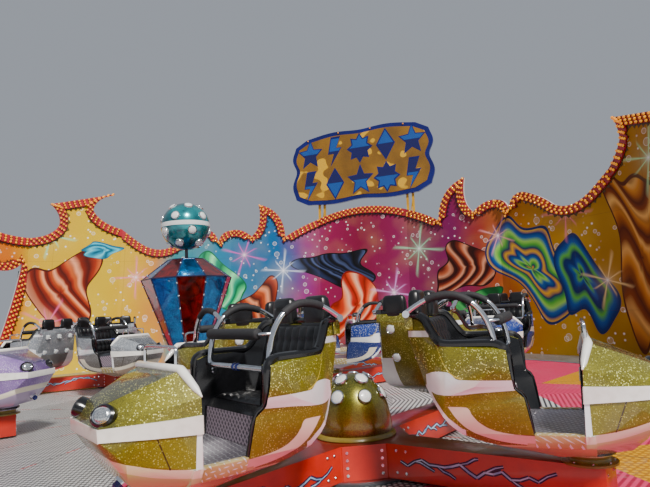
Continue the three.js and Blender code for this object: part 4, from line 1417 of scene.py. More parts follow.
def raised_patch(mesh, cuts, proud):
    """The part of a shell's outer skin between some planes, thickened outwards."""
    work = opened(mesh)
    bmesh.ops.delete(work, geom=[face for face in work.faces if face.material_index], context="FACES")
    for point, out in cuts:
        cut_away(work, point, out)
    work.normal_update()
    work.verts.index_update()
    count = len(work.verts)
    points = [vertex.co - vertex.normal * 0.002 for vertex in work.verts]
    points += [vertex.co + vertex.normal * proud for vertex in work.verts]
    faces = []
    for face in work.faces:
        ring = [vertex.index for vertex in face.verts]
        faces += [[count + i for i in ring], list(reversed(ring))]
    for edge in work.edges:
        if edge.is_boundary:
            a, b = (vertex.index for vertex in edge.verts)
            faces.append([a, b, count + b, count + a])
    work.free()
    return points, faces


def liner_shape():
    """The rounded black rim along the cabin's edge, side to side, slim where it runs down to the sill."""
    shape = Shape()
    side = smooth_path(CAR_OPENING, 3)
    radii = [0.014 + 0.024 * min(1, max(0, (point.z - 1.0) / 0.26)) for point in side]
    shape.add_pair(sweep(side, radii, 10), 0)
    x, y, z = CAR_OPENING[-1]
    return shape.add(sweep([(x, y * share, z) for share in (-1, -0.5, 0, 0.5, 1)], LINER_RADIUS, 10))


def quilt(origin, along, normal, width, length, thickness, channels, rows, taper=0.0):
    """A crowned pad with sewn channels: a closed grid on a plane, its seams pulled in."""
    along, normal, across = Vector(along).normalized(), Vector(normal).normalized(), Vector((0, -1, 0))
    columns, lines = channels * QUILT_STEPS, rows * QUILT_STEPS
    grid = [(i / columns, j / lines) for j in range(lines + 1) for i in range(columns + 1)]

    def height(u, v):
        edge = (1 - (2 * u - 1) ** 8) * (1 - (2 * v - 1) ** 8)
        seam = abs(sin(pi * channels * u)) ** 0.45 * (0.35 + 0.65 * abs(sin(pi * rows * v)) ** 0.45)
        return thickness * (0.12 + 0.88 * max(edge, 0) ** 0.5 * (0.55 + 0.45 * seam))

    origin = Vector(origin)
    back = [origin + across * (u - 0.5) * width * (1 - taper * v) + along * v * length for u, v in grid]
    front = [point + normal * height(u, v) for point, (u, v) in zip(back, grid)]
    row, count = columns + 1, len(grid)
    faces = grid_faces(lines + 1, row, False, False)
    faces += [[count + i for i in reversed(face)] for face in faces]
    border = [*range(row), *(j * row + columns for j in range(1, lines + 1))]
    border += [lines * row + i for i in range(columns - 1, -1, -1)]
    border += [j * row for j in range(lines - 1, 0, -1)]
    faces += [[a, count + a, count + b, b] for a, b in zip(border, border[1:] + border[:1])]
    return [*front, *back], faces


def seat_shape():
    """Seat and backrest quilts."""
    shape = Shape()
    run = Vector((SEAT_BACK[0] - SEAT_FRONT[0], 0, SEAT_BACK[1] - SEAT_FRONT[1]))
    rise = Vector((BACKREST_TOP[0] - BACKREST_FOOT[0], 0, BACKREST_TOP[1] - BACKREST_FOOT[1]))
    seat = (SEAT_FRONT[0], 0, SEAT_FRONT[1] - 0.002)
    backrest = (BACKREST_FOOT[0] - 0.012, 0, BACKREST_FOOT[1])
    shape.add(quilt(seat, run, UP, 1.03, run.length + 0.03, 0.05, 8, 3))
    shape.add(quilt(backrest, rise, (rise.z, 0, -rise.x), 0.99, rise.length, 0.06, 8, 4, 0.13))
    return shape


def headrest_shape():
    """Two tall rounded headrests."""
    shape = Shape()
    depth_middle, width_middle = HEADREST_MIDDLE
    faces = grid_faces(len(HEADREST), HEADREST_SIDES, False, True)
    count = HEADREST_SIDES * len(HEADREST)
    faces += [list(range(HEADREST_SIDES)), list(range(count - HEADREST_SIDES, count))]
    for side in (-1, 1):
        points = []
        for z, depth, half in HEADREST:
            for k in range(HEADREST_SIDES):
                turn = 2 * pi * k / HEADREST_SIDES
                c, s = cos(turn), sin(turn)
                points.append((depth_middle + depth * abs(c) ** 0.5 * (1 if c > 0 else -1),
                               width_middle * side + half * abs(s) ** 0.5 * (1 if s > 0 else -1), z))
        shape.add((points, faces))
    return shape


def nose_edge():
    """The white moulding over the nose's back edge, tapering down to the shoulders."""
    shoulder, crown = Vector(NOSE_SHOULDER), Vector(NOSE_CROWN)
    side = [shoulder.lerp(crown, share) + Vector((-0.004, 0, 0)) for share in (0, 0.3, 0.85, 1)]
    radii = [0.006, 0.026, 0.034, 0.034]
    return sweep(both_halves(side), [*radii, *reversed(radii)], 10)


def headlamp(shape, side, black, glass, rim):
    """An oval headlamp in a black bezel on the nose's corner."""
    out = (HEADLAMP_OUT[0], side * HEADLAMP_OUT[1], HEADLAMP_OUT[2])
    spot = facing(out, (HEADLAMP[0], side * HEADLAMP[1], HEADLAMP[2]))
    oval = spot @ Matrix.Diagonal(HEADLAMP_OVAL)
    shape.add(lathe(BEZEL, 28), black, oval)
    shape.add(lathe(BEZEL_RIM, 28), rim, oval)
    shape.add(ball(HEADLAMP_GLASS, 8, 24, 0.4), glass, oval @ Matrix.Translation((0, 0, 0.022)))


def back_lamp(shape, spot, radius, ring, lens):
    """A round lamp with a stepped ring on the car's back."""
    profile = [(0, -0.03), (radius, -0.03), (radius, 0.004), (radius * 0.92, 0.012), (radius * 0.82, 0.006),
               (0, 0.004)]
    shape.add(lathe(profile, 20), ring, spot)
    shape.add(ball(radius * 0.84, 8, 20, 0.22), lens, spot @ Matrix.Translation((0, 0, 0.006)))


def side_strip(side, middle, low, high):
    """A strip on one side of a car."""
    y = side * middle
    return block((low[0], y - STRIP_HALF_WIDTH, low[1]), (high[0], y + STRIP_HALF_WIDTH, high[1]))


def fittings_shape(shell, lamp):
    """Lamps, handle, belt, sill plates, catches and the other small parts of a car, by material number."""
    metal, black, white, tread, lens, glass, cap, sill = range(len(FITTINGS))
    shape = Shape()
    shape.add(raised_patch(shell, BELT_CUTS, BELT_PROUD), white)
    shape.add(raised_patch(shell, SILL_CUTS, SILL_PROUD), sill)
    shape.add(nose_edge(), white)
    handle = smooth_path([*HANDLE, *mirrored(reversed(HANDLE[:-1]))], 3)
    shape.add(sweep(handle, HANDLE_RADIUS, 8), metal)
    for z, x, lean in LAMP_ROWS:
        for y in LAMP_PLACES:
            back_lamp(shape, facing((-1, 0, lean), (x, y, z)), lamp, metal, lens)
    for side in (-1, 1):
        headlamp(shape, side, black, glass, metal)
        x, y, z = CATCH_MIDDLE
        shape.add(lathe(CATCH, 16), metal, facing((0, -side, 0), (x, side * y, z)))
        shape.add(side_strip(side, *SILL_STRIP), sill)
        shape.add(side_strip(side, *SEAT_STRIP), black)
    under = facing(PLUG_OUT, PLUG_MIDDLE)
    shape.add(lathe(PLUG_BODY, 20), metal, under)
    shape.add(lathe(PLUG_CAP, 16), cap, under)
    shape.add(lathe(PIVOT_DRUM, 28), black)
    shape.add(prism(KICK_PLATE, "y", -KICK_HALF_WIDTH, KICK_HALF_WIDTH), tread)
    return shape


class RIDE_OT_cars(RideOperator, bpy.types.Operator):
    """Builds the sixteen car shells with their liners, seats, lamps and trims"""
    bl_idname = "ride.cars"
    bl_label = "Cars"

    def build(self, sizes, colours):
        first = car_frame("gold", 1)
        shell = shell_mesh("gold_car_1", first, sizes.edge)
        liner = liner_shape().mesh("liner")
        seat = seat_shape().mesh("seat", smooth=60)
        heads = headrest_shape().mesh("heads", smooth=70)
        fittings = fittings_shape(shell, sizes.car_lamp).mesh("fittings", smooth=40)
        for livery in LIVERIES:
            for number in range(1, 5):
                place = car_frame(livery, number)
                car = f"{livery}_car_{number}"
                piece(f"{car}_shell", shell, [livery, "liner", "cabin_floor"], car, place, [car])
                piece(f"{car}_liner", liner, ["liner"], car, place)
                piece(f"{car}_seat", seat, ["vinyl"], car, place)
                piece(f"{car}_headrests", heads, ["vinyl"], car, place)
                piece(f"{car}_fittings", fittings, FITTINGS, car, place)


# Lap bars

BAR_HINGE = (-1.278, 1.59)
BAR_SIDE = 0.5
BAR_LOW = (-0.585, 1.245)
BAR_PAD = (-0.56, 1.51)
BAR_PAD_HALF = 0.42
BAR_ARCH = [(-1.3, 1.585), (-1.19, 1.655), (-1.065, 1.712), (-0.925, 1.728), (-0.83, 1.706), (-0.745, 1.655),
            (-0.685, 1.588), (-0.64, 1.51), (-0.616, 1.435), (-0.6, 1.354), (-0.591, 1.29)]
BAR_CORNER = [(-0.591, BAR_SIDE, 1.29), (-0.588, 0.494, 1.262), (-0.585, 0.47, 1.247), (-0.585, 0.44, 1.245)]
BAR_EYE = [(0, -0.026), (0.03, -0.026), (0.032, -0.02), (0.032, 0.02), (0.03, 0.026), (0, 0.026)]
BAR_CLAMP = [(0, -0.012), (0.03, -0.012), (0.033, 0), (0.03, 0.012), (0, 0.012)]
SLEEVE_REACH = (-1.14, -0.74)
SLEEVE_THICKNESS = 0.009


def lap_bar_shape(tube):
    """The bent tube in one piece, its foam sleeves, the pad's links, a clamp and the hinge eyes."""
    metal, foam, blue = range(3)
    shape = Shape()
    arch = smooth_path([(x, BAR_SIDE, z) for x, z in BAR_ARCH], 3)
    half = [*arch[:-1], *smooth_path(BAR_CORNER, 3)]
    shape.add(sweep(both_halves(half), tube, 12), metal)
    sleeve = [p for p in arch if SLEEVE_REACH[0] < p.x < SLEEVE_REACH[1]]
    shape.add_pair(sweep(sleeve, tube + SLEEVE_THICKNESS, 12), foam)
    x, z = BAR_PAD
    link = [(x, 0.4, z), (x, 0.45, z), (-0.59, 0.48, z), (-0.638, BAR_SIDE, z)]
    shape.add_pair(sweep(smooth_path(link, 3), 0.013, 8), metal)
    sideways = Vector((0, 1, 0))
    shape.add_pair(lathe(BAR_EYE, 16), metal, facing(sideways, (BAR_HINGE[0], BAR_SIDE, BAR_HINGE[1])))
    for place in (-0.03, 0.03):
        shape.add(lathe(BAR_CLAMP, 14), blue, facing(sideways, (BAR_LOW[0], place, BAR_LOW[1])))
    return shape


def lap_pad_shape():
    """The padded bar, with rounded ends."""
    x, z = BAR_PAD
    shares = (-1, -0.985, -0.95, -0.5, 0, 0.5, 0.95, 0.985, 1)
    radii = [0.03, 0.04, *[0.045] * 5, 0.04, 0.03]
    return Shape().add(sweep([(x, share * BAR_PAD_HALF, z) for share in shares], radii, 16))


class RIDE_OT_lap_bars(RideOperator, bpy.types.Operator):
    """Builds the sixteen lap bars from bent chrome tube with foam sleeves"""
    bl_idname = "ride.lap_bars"
    bl_label = "Lap bars"

    def build(self, sizes, colours):
        bar = lap_bar_shape(sizes.tube).mesh("bar", smooth=50)
        pad = lap_pad_shape().mesh("pad", smooth=50)
        for livery in LIVERIES:
            for number in range(1, 5):
                name = f"{livery}_lap_bar_{number}"
                place = car_frame(livery, number)
                piece(f"{name}_tubes", bar, ["chrome", "foam", "blue_cap"], name, place, [name])
                piece(f"{name}_pad", pad, ["foam"], name, place)


# Crosses

HUB_FACES = 8
FACE_BOLTS = ((-0.17, 0.17), (0.08, 0.15, 0.22, 0.29))
TIP_BOLTS = ((-0.1, 0.1), (0.1, 0.28))
SIDE_BOLTS = ((0.62, 0.72), (0.09, 0.29))
FLANGE_BOLTS = 8
FLANGE_BOLT_RADIUS = 0.185
BOLT_SIZE = (0.011, 0.012)
ARM_EDGE = 0.008
LAMP_HEIGHT = 0.022

# Bearing under a car, plate under the hub, dome and its flange, as (radius, height)
BEARING = [(0, 0.345), (0.215, 0.345), (0.215, 0.362), (0.2, 0.366), (0.16, 0.366), (0.152, 0.376),
           (0.15, 0.39), (0.158, 0.4), (0.158, 0.414), (0.15, 0.419), (0, 0.419)]
HUB_PLATE = [(0, 0.005), (0.64, 0.005), (0.64, 0.024), (0.61, 0.03), (0, 0.03)]
DOME_SEAT = ARM_TOP + 0.0003
DOME_RADIUS = 0.39
DOME_RISE = 0.59
DOME_FOOT = 0.04
DOME_STEPS = 14
DOME_FLANGE = [(0, 0), (0.42, 0), (0.426, 0.01), (0.42, 0.026), (0.4, 0.042), (0.392, 0.046), (0, 0.046)]

# Painted lightning: where it runs along an arm, its middle height and half height, and its half widths
BOLT_RUN = (0.66, 2.1)
BOLT_MIDDLE = 0.2
BOLT_SPREAD = 0.1
BOLT_STEP = 0.075
BOLT_WIDTHS = (0.009, 0.006)
BOLT_OUTLINE = 0.013


def lightning(seed):
    """Jagged painted bolts with branches, as paths along an arm's side: (distance, height)."""
    chance = random.Random(seed)
    start, end = BOLT_RUN
    count = int((end - start) / BOLT_STEP)
    main = []
    height = BOLT_MIDDLE
    for i in range(count + 1):
        main.append((start + (end - start) * i / count, height))
        height += chance.uniform(-0.05, 0.05) + (BOLT_MIDDLE - height) * 0.35
    paths = [main]
    lowest, highest = BOLT_MIDDLE - BOLT_SPREAD, BOLT_MIDDLE + BOLT_SPREAD
    for at in range(2, count - 3, 3):
        way = chance.choice((-1, 1))
        a, b = main[at]
        branch = [(a, b)]
        for _ in range(3):
            a += chance.uniform(0.03, 0.075)
            b += way * chance.uniform(0.0, 0.045)
            branch.append((a, min(highest, max(lowest, b))))
        paths.append(branch)
    return paths


def tapered(path, width):
    """Half widths that run to a point at both ends."""
    count = len(path)
    return [width * (0.3 + 0.7 * sin(pi * min(0.98, max(0.02, i / (count - 1))))) for i in range(count)]


def arm_side(distance):
    """Half width of a cross arm at a distance from the hub."""
    share = distance / (ARM_LENGTH + ARM_END_HALF_WIDTH)
    return ARM_ROOT_HALF_WIDTH + (ARM_END_HALF_WIDTH - ARM_ROOT_HALF_WIDTH) * share


def turned_about(turn, shift):
    """A frame moved by a shift and turned about its vertical."""
    return Matrix.Translation(shift) @ Matrix.Rotation(turn, 4, "Z")


def cross_art(livery_index):
    """Painted lightning on both sides of the four arms: a dark outline under a pale core."""
    shape = Shape()
    lean = atan2(ARM_ROOT_HALF_WIDTH - ARM_END_HALF_WIDTH, ARM_LENGTH + ARM_END_HALF_WIDTH)
    for arm in range(4):
        for side in (-1, 1):
            root = (0, side * ARM_ROOT_HALF_WIDTH, 0)
            place = turned_about(arm * pi / 2, (0, 0, 0)) @ turned_about(-side * lean, root)
            paths = lightning(100 * livery_index + 10 * arm + side)
            for kind, extra, proud in ((0, BOLT_OUTLINE, 0.0006), (1, 0.0, 0.0012)):
                low, high = sorted((-side * 0.003, side * proud))
                for order, path in enumerate(paths):
                    widths = [width + extra for width in tapered(path, BOLT_WIDTHS[min(order, 1)])]
                    for i in range(len(path) - 1):
                        shape.add(ribbon(path[i:i + 2], widths[i:i + 2], low, high), kind, place)
    return shape


def hub_bolts():
    """Bolts on the free faces of the hub block, the arm tips, the arm roots and the bearings' flanges."""
    places = []

    def on_face(turn, distance, columns, heights):
        out, along = around(1, 0, turn), around(1, 0, turn + pi / 2)
        for column in columns:
            places.extend((out * distance + along * column + UP * height, out) for height in heights)

    for face in range(4):
        on_face(pi / 4 + face * pi / 2, HUB_BLOCK_RADIUS * cos(pi / HUB_FACES), *FACE_BOLTS)
    for arm in range(4):
        turn = arm * pi / 2
        on_face(turn, ARM_LENGTH + ARM_END_HALF_WIDTH, *TIP_BOLTS)
        out, along = around(1, 0, turn), around(1, 0, turn + pi / 2)
        for distance in SIDE_BOLTS[0]:
            for side in (-1, 1):
                root = out * distance + along * side * arm_side(distance)
                places += [(root + UP * height, along * side) for height in SIDE_BOLTS[1]]
        for step in range(FLANGE_BOLTS):
            ring = around(FLANGE_BOLT_RADIUS, ARM_TOP + 0.012, 2 * pi * (step + 0.5) / FLANGE_BOLTS)
            places.append((out * ARM_LENGTH + ring, UP))
    return places


def bearing_shape():
    """The bearing under each car, a flange and a drum with a groove, and the plate under the hub."""
    shape = Shape()
    for arm in range(4):
        place = turned_about(arm * pi / 2, ARM_LENGTH * around(1, 0, arm * pi / 2))
        shape.add(lathe(BEARING, 32), 0, place)
    return shape.add(lathe(HUB_PLATE, 48), 1)


def dome_height(rise):
    """Height of the dome's cap at an angle from its foot to its crown."""
    return DOME_SEAT + DOME_FOOT + DOME_RISE * sin(rise) ** 0.9


def dome_shape():
    """The hub dome: a smooth cap on a rolled flange."""
    turns = [i * pi / 2 / DOME_STEPS for i in range(DOME_STEPS)]
    cap = [(DOME_RADIUS * cos(turn), dome_height(turn)) for turn in turns]
    foot = DOME_SEAT + 0.03
    shape = Shape()
    shape.add(lathe([(0, foot), (0.385, foot), *cap, (0, dome_height(pi / 2))], 48), 0)
    return shape.add(lathe([(radius, DOME_SEAT + height) for radius, height in DOME_FLANGE], 48), 1)


def dome_point(turn, rise):
    """A point on the dome's cap and the direction out of it."""
    out = around(cos(rise) / DOME_RADIUS, sin(rise) / DOME_RISE, turn)
    return around(DOME_RADIUS * cos(rise), dome_height(rise), turn), out


# Rows of lamps on a hub dome: rise and turn of the first in degrees, and how many
DOME_ROWS = ((64, 50.5, 5), (38, 19.5, 7))


def dome_lamps():
    """Staggered rows of lamps around the dome."""
    return [dome_point(radians(first + 360 * k / count), radians(rise))
            for rise, first, count in DOME_ROWS for k in range(count)]


NUT_PARTS = [("nut", "chrome"), ("washer", "chrome")]
LAMP_PARTS = [("lens", "lens"), ("ring", "chrome"), ("drum", "chrome")]
BALL_LAMP_PARTS = [("lens", "lens"), ("ring", "chrome"), ("drum", "white")]
BULB_PARTS = [("bulb", "bulb"), ("cup", "socket")]


def moved(places, frame_matrix):
    """Places and directions taken into the row's frame."""
    turn = frame_matrix.to_3x3()
    return [(frame_matrix @ Vector(p), turn @ Vector(d)) for p, d in places]


class RIDE_OT_crosses(RideOperator, bpy.types.Operator):
    """Builds the four crosses with their bolts, bearings, lightning and hub domes"""
    bl_idname = "ride.crosses"
    bl_label = "Crosses"

    def build(self, sizes, colours):
        dome = dome_shape().mesh("dome", smooth=50)
        bearings = bearing_shape().mesh("bearings", smooth=40)
        for index, livery in enumerate(LIVERIES):
            body = f"{livery}_cross"
            place = cross_frame(livery)
            arms = rounded(merged_copy(body), ARM_EDGE, 30)
            art = cross_art(index).mesh("art", smooth=20)
            piece(f"{body}_arms", arms, ["arm"], body, None, [body])
            piece(f"{body}_lightning", art, ["ink", "bolt_blue"], body, place)
            piece(f"{body}_bearings", bearings, ["brass", "dark_steel"], body, place)
            piece(f"{body}_dome", dome, ["dome", "brass"], body, place,
                  [f"{livery}_hub_dome"])
            bolts, lamps = moved(hub_bolts(), place), moved(dome_lamps(), place)
            repeated_piece(f"{body}_bolts", bolts, NUT_PARTS, *BOLT_SIZE, body, "chrome")
            repeated_piece(f"{body}_dome_lamps", lamps, LAMP_PARTS, sizes.dome_lamp, LAMP_HEIGHT,
                           body, "chrome")


# Wall

CURVE_STEPS = 8
EDGE_STEP = 0.05
BULB_ROWS = (0.045, 0.13, 0.215)
RAIL_HEIGHTS = (0.5, 2.2)


def archway(azimuth):
    """Height of the middle boards' arch over the deck."""
    return ARCH_HEIGHT - ARCH_DROP * (azimuth / ARCH_EDGE) ** 2


def bent(start, control, end):
    """Points of a quadratic curve after its start."""
    found = []
    for i in range(1, CURVE_STEPS + 1):
        t = i / CURVE_STEPS
        weights = ((1 - t) ** 2, 2 * t * (1 - t), t * t)
        found.append(tuple(sum(weight * point[k] for weight, point in zip(weights, (start, control, end)))
                           for k in (0, 1)))
    return found


def edge_line(start, *moves):
    """A free edge from its start by curves (control, end) or straight moves (end,)."""
    line = [start]
    for move in moves:
        line += bent(line[-1], move[0], move[1]) if len(move) == 2 else [move[0]]
    return line


def top_edge(panel, neck):
    """The free edge of a wall panel: (azimuth, height over the deck), from the middle outwards."""
    centre, inner, dip, horn = (SEAMS[name] for name in ("centre", "inner", "dip", "horn"))
    if panel == "centre":
        return [(centre * (i / 12 - 1), archway(centre * (i / 12 - 1))) for i in range(25)]
    if panel == "inner":
        return edge_line((centre, archway(centre)), ((13, 4.85), (16, 4.5)), ((16.4, 5.6), (21.6, 5.85)),
                         ((20.6, 4.95), (23, 4.6)), ((25, 4.95), (inner, 4.89)))
    if panel == "dip":
        return edge_line((inner, 4.89), ((29.4, 4.85), (29.8, 4.45)), ((30.6, 4.97), (33, 4.93)),
                         ((36, 4.75), (38.5, 4.35)), ((42, 3.95), (46, 4.59)), ((dip, 4.98),))
    if panel == "horn":
        return edge_line((dip, 4.98), ((neck - 1.2, 5.2), (neck, 5.65)), ((neck - 0.2, 6.1), (50.3, 6.3)),
                         ((61.7, 5.8),), ((59.5, 5.5), (59.9, 5.05)), ((61, 4.65), (horn, 4.59)))
    return edge_line((horn, 4.59), ((68, 4.6), (71, 4.82)), ((75, 4.95), (77.8, 4.5)),
                     ((74, 3.9), (71, 3.58)), ((67, 3.3), (65.4, 3.75)), ((66.4, 2), (70, -BOARD_BELOW_DECK)))


class Board:
    """A flat board on a chord of the wall's circle between two seams."""

    def __init__(self, low, high, edge):
        self.low, self.high = low, high
        half = radians((high - low) / 2)
        self.middle = (low + high) / 2
        self.distance = WALL_RADIUS * cos(half)
        self.length = 2 * WALL_RADIUS * sin(half)
        self.edge = edge
        turn = radians(self.middle)
        start = around(WALL_RADIUS, 0, pi / 2 - radians(low))
        self.frame = basis(around(1, 0, -turn), around(1, 0, pi / 2 - turn), UP, start)

    def place(self, azimuth, height):
        """Board coordinates (along, height over the ground) of a point of the wall."""
        turn = radians(azimuth - self.middle)
        y = self.distance / cos(turn) * cos(radians(azimuth))
        return (self.length / 2 + self.distance * tan(turn), deck_height(y) + height)

    def outline(self):
        """The free edge and the lower corners that it doesn't reach."""
        corners = [(self.high, self.edge[-1][1]), (self.low, self.edge[0][1])]
        feet = [self.place(azimuth, -BOARD_BELOW_DECK) for azimuth, height in corners if height > 0]
        return [*(self.place(*point) for point in self.edge), *feet]

    def fine_edge(self, lowest):
        """The free edge in short steps, ended a little over the deck."""
        line = [self.place(azimuth, max(height, lowest)) for azimuth, height in self.edge]
        return even_line(line, EDGE_STEP)

    def art_coordinates(self, mesh):
        """Stores distance along the wall, height over the deck and depth at each point of a mesh."""
        own = mesh.attributes["own"]
        base = radians(self.low) * WALL_RADIUS
        stretch = radians(self.high - self.low) * WALL_RADIUS / self.length
        flat = []
        for vertex in mesh.vertices:
            world = self.frame @ vertex.co
            flat += [base + vertex.co.x * stretch, vertex.co.z - deck_height(world.y), vertex.co.y]
        own.data.foreach_set("vector", flat)


def even_line(line, step):
    """A line cut into short steps, its own points kept."""
    found = []
    for (a, b), (c, d) in zip(line, line[1:]):
        count = max(1, int(hypot(c - a, d - b) / step))
        found += [(a + (c - a) * i / count, b + (d - b) * i / count) for i in range(count)]
    return [*found, line[-1]]


def inner_line(line, width, length, teeth=0.0):
    """The points inside an edge at an even distance, nearer where the board is narrow, plain or toothed."""
    found = []
    for i, (a, b) in enumerate(line):
        run_x, run_z = direction_at(line, i, 2)
        in_x, in_z = run_z, -run_x
        if min(a, length - a) < 0.001 and abs(in_z) > 0.3:
            in_x, in_z = 0, in_z / abs(in_z)
        reach = width + teeth * (i % 3 == 0)
        for p, q in line:
            ahead = (p - a) * in_x + (q - b) * in_z
            if ahead > 0.004:
                reach = min(reach, ((p - a) ** 2 + (q - b) ** 2) / (2 * ahead) + 0.004)
        found.append((min(max(a + in_x * reach, 0), length), b + in_z * reach))
    return found


def along_line(line, step, shift):
    """Points at even steps along a line."""
    found = []
    left = step * shift
    for (a, b), (c, d) in zip(line, line[1:]):
        run = hypot(c - a, d - b)
        while left <= run and run > 0:
            found.append((a + (c - a) * left / run, b + (d - b) * left / run))
            left += step
        left -= run
    return found


def wall_boards():
    """The nine boards by name."""
    boards = {"wall_centre": Board(-SEAMS["centre"], SEAMS["centre"], top_edge("centre", 0))}
    order = list(SEAMS)
    for before, name in zip(order, order[1:]):
        low, high = SEAMS[before], SEAMS[name]
        left = [(-azimuth, height) for azimuth, height in reversed(top_edge(name, NECKS["left"]))]
        boards[f"wall_{name}_right"] = Board(low, high, top_edge(name, NECKS["right"]))
        boards[f"wall_{name}_left"] = Board(-high, -low, left)
    return boards


def rim_shape(board):
    """The raised rim along a board's free edge, with a dark toothed painted shadow under it."""
    edge = board.fine_edge(0.02)
    inner = inner_line(edge, RIM_WIDTH, board.length)
    # Painted shadow: the toothed band under the rim
    deeper = inner_line(edge, RIM_WIDTH + 0.03, board.length, 0.07)
    shape = Shape()
    shape.add(band(edge, inner, -RIM_THICKNESS, -0.001))
    return shape.add(band(inner, deeper, -0.01, -0.001), 1)


def wall_posts(board, name):
    """Posts, rails and slanting braces behind a board."""
    shape = Shape()
    shares = {"wall_wing_right": [0.06], "wall_wing_left": [0.94]}.get(name, [0.22, 0.78])
    top = board.place(board.middle, POST_TOP)[1]
    front, back = BOARD_THICKNESS - 0.001, BOARD_THICKNESS + POST_WIDTH
    half = POST_WIDTH / 2
    spots = [share * board.length for share in shares]
    for x in spots:
        shape.add(block((x - half, front, 0), (x + half, back, top)))
        shape.add(block((x - 0.09, front, 0), (x + 0.09, back + 0.004, 0.02)))
    if len(spots) == 2:
        levels = (*RAIL_HEIGHTS, top - 0.15)
        for z in levels:
            shape.add(block((spots[0], front + 0.02, z - 0.03), (spots[1], front + 0.06, z + 0.03)))
        for low, high in zip(levels, levels[1:]):
            for start, end in (spots, reversed(spots)):
                shape.add(sweep([(start, front + 0.04, low), (end, front + 0.04, high)], 0.018, 8))
    return shape


class RIDE_OT_wall(RideOperator, bpy.types.Operator):
    """Builds the painted boards, their red rims with bulbs and the posts behind them"""
    bl_idname = "ride.wall"
    bl_label = "Scenery wall"

    def build(self, sizes, colours):
        for name, board in wall_boards().items():
            mesh = Shape().add(prism(board.outline(), "y", 0, BOARD_THICKNESS)).mesh(name, smooth=20)
            for face in mesh.polygons:
                if face.normal.y > -0.5:
                    face.material_index = 1
            rim = rim_shape(board).mesh("rim", smooth=20)
            posts = wall_posts(board, name).mesh("posts", smooth=30)
            for painted in (mesh, rim):
                board.art_coordinates(painted)
            piece(f"{name}_board", mesh, ["art", "board_back"], "root", board.frame, [name])
            # The rim, and the painted shadow under it
            piece(f"{name}_rim", rim, ["rim", "rim_shadow"], "root", board.frame)
            piece(f"{name}_posts", posts, ["dark_steel"], "root", board.frame)
            self.bulbs(name, board, sizes)

    def bulbs(self, name, board, sizes):
        """Rows of bulbs on the rim."""
        edge = board.fine_edge(0.06)
        places = []
        for row, offset in enumerate(BULB_ROWS):
            line = inner_line(edge, offset, board.length)
            for x, z in along_line(line, sizes.bulb_step, 0.5 * (row % 2) + 0.25):
                if 0.04 < x < board.length - 0.04:
                    places.append(((x, -RIM_THICKNESS, z), (0, -1, 0)))
        repeated_piece(f"{name}_bulbs", moved(places, board.frame), BULB_PARTS, sizes.bulb, sizes.bulb,
                       "root", "wall_paint")


# Pillar, ball, sign and the steelwork

PILLAR_PROFILE = [(0.55, 0.0003), (0.55, 0.25), (0.32, 0.33), (0.32, 1.05), PILLAR_CROWN, PILLAR_TOP]
SEAM_RADIUS = 0.012
HOOP_RADIUS = 0.011
STUD_STEP = 0.22
STUD_SIZE = (0.018, 0.014)
BALL_LAMP_SIZE = (0.084, 0.03)
BALL_ROWS = ((54, 30), (21, 64), (-15, 32), (-48, 66))
BALL_ROW_LAMPS = 5


class RIDE_OT_pillar(RideOperator, bpy.types.Operator):
    """Builds the mirror pillar with its seams and studs, and the ball with its lamps"""
    bl_idname = "ride.pillar"
    bl_label = "Pillar and ball"

    def build(self, sizes, colours):
        facets_mesh = merged_copy("centre_pillar")
        facets_mesh.transform(PLATFORM.inverted())
        piece("centre_pillar_facets", rounded(facets_mesh, 0.0, 20), ["mirror"], "turntable",
              PLATFORM, ["centre_pillar"])
        turns = [radians(PILLAR_TURN + 360 * k / PILLAR_SIDES) for k in range(PILLAR_SIDES)]
        seams = Shape()
        places = []
        for turn in turns:
            line = [around(radius, height, turn) for radius, height in PILLAR_PROFILE]
            seams.add(sweep(line, SEAM_RADIUS, 6))
            for a, b in zip(line[3:], line[4:]):
                count = max(2, int((b - a).length / STUD_STEP))
                places += [(a.lerp(b, (i + 0.5) / count), around(1, 0, turn)) for i in range(count)]
        for radius, height in PILLAR_PROFILE[2:]:
            seams.add(sweep([around(radius, height, turn) for turn in turns], HOOP_RADIUS, 6, closed=True))
        piece("centre_pillar_seams", seams.mesh("seams"), ["ink"], "turntable", PLATFORM)
        repeated_piece("centre_pillar_studs", moved(places, PLATFORM), [("bulb", "chrome")], *STUD_SIZE,
                       "turntable", "chrome")
        self.sphere()

    def sphere(self):
        """The ball on its pole, with four staggered rows of lamps."""
        foot = PILLAR_TOP[1] + 0.0003
        pole = [(0, foot), (0.08, foot), (0.08, foot + 0.02), (0.03, foot + 0.04), (0.03, 2.93), (0, 2.93)]
        shape = Shape()
        shape.add(ball(BALL_RADIUS, 32, 64, 1.0), 0, Matrix.Translation((0, 0, BALL_CENTRE)))
        shape.add(lathe(pole, 20), 1)
        piece("pillar_ball_shell", shape.mesh("ball", smooth=50), ["ball", "dark_steel"], "turntable",
              PLATFORM, ["pillar_ball"])
        lamps = []
        for rise, first in BALL_ROWS:
            for k in range(BALL_ROW_LAMPS):
                turn = radians(first + 360 * k / BALL_ROW_LAMPS)
                out = around(cos(radians(rise)), sin(radians(rise)), turn)
                lamps.append((UP * BALL_CENTRE + out * (BALL_RADIUS - 0.012), out))
        repeated_piece("pillar_ball_lamps", moved(lamps, PLATFORM), BALL_LAMP_PARTS, *BALL_LAMP_SIZE,
                       "turntable", "chrome")


# Sign over the wall: half sizes, its middle and the middles of its two rows of shapes
SIGN_HALF_WIDTH = 2.82
SIGN_HALF_HEIGHT = 1.47
SIGN_MIDDLE = 9.87
SIGN_ARCH = 0.12
SIGN_POST_PAIRS = ((-1.75, -1.54), (1.74, 1.95))
SIGN_ROWS = (10.5, 9.2)
SIGN_COLUMNS = (-2.05, -1.03, 0.0, 1.03, 2.05)
SIGN_BULB = 0.03


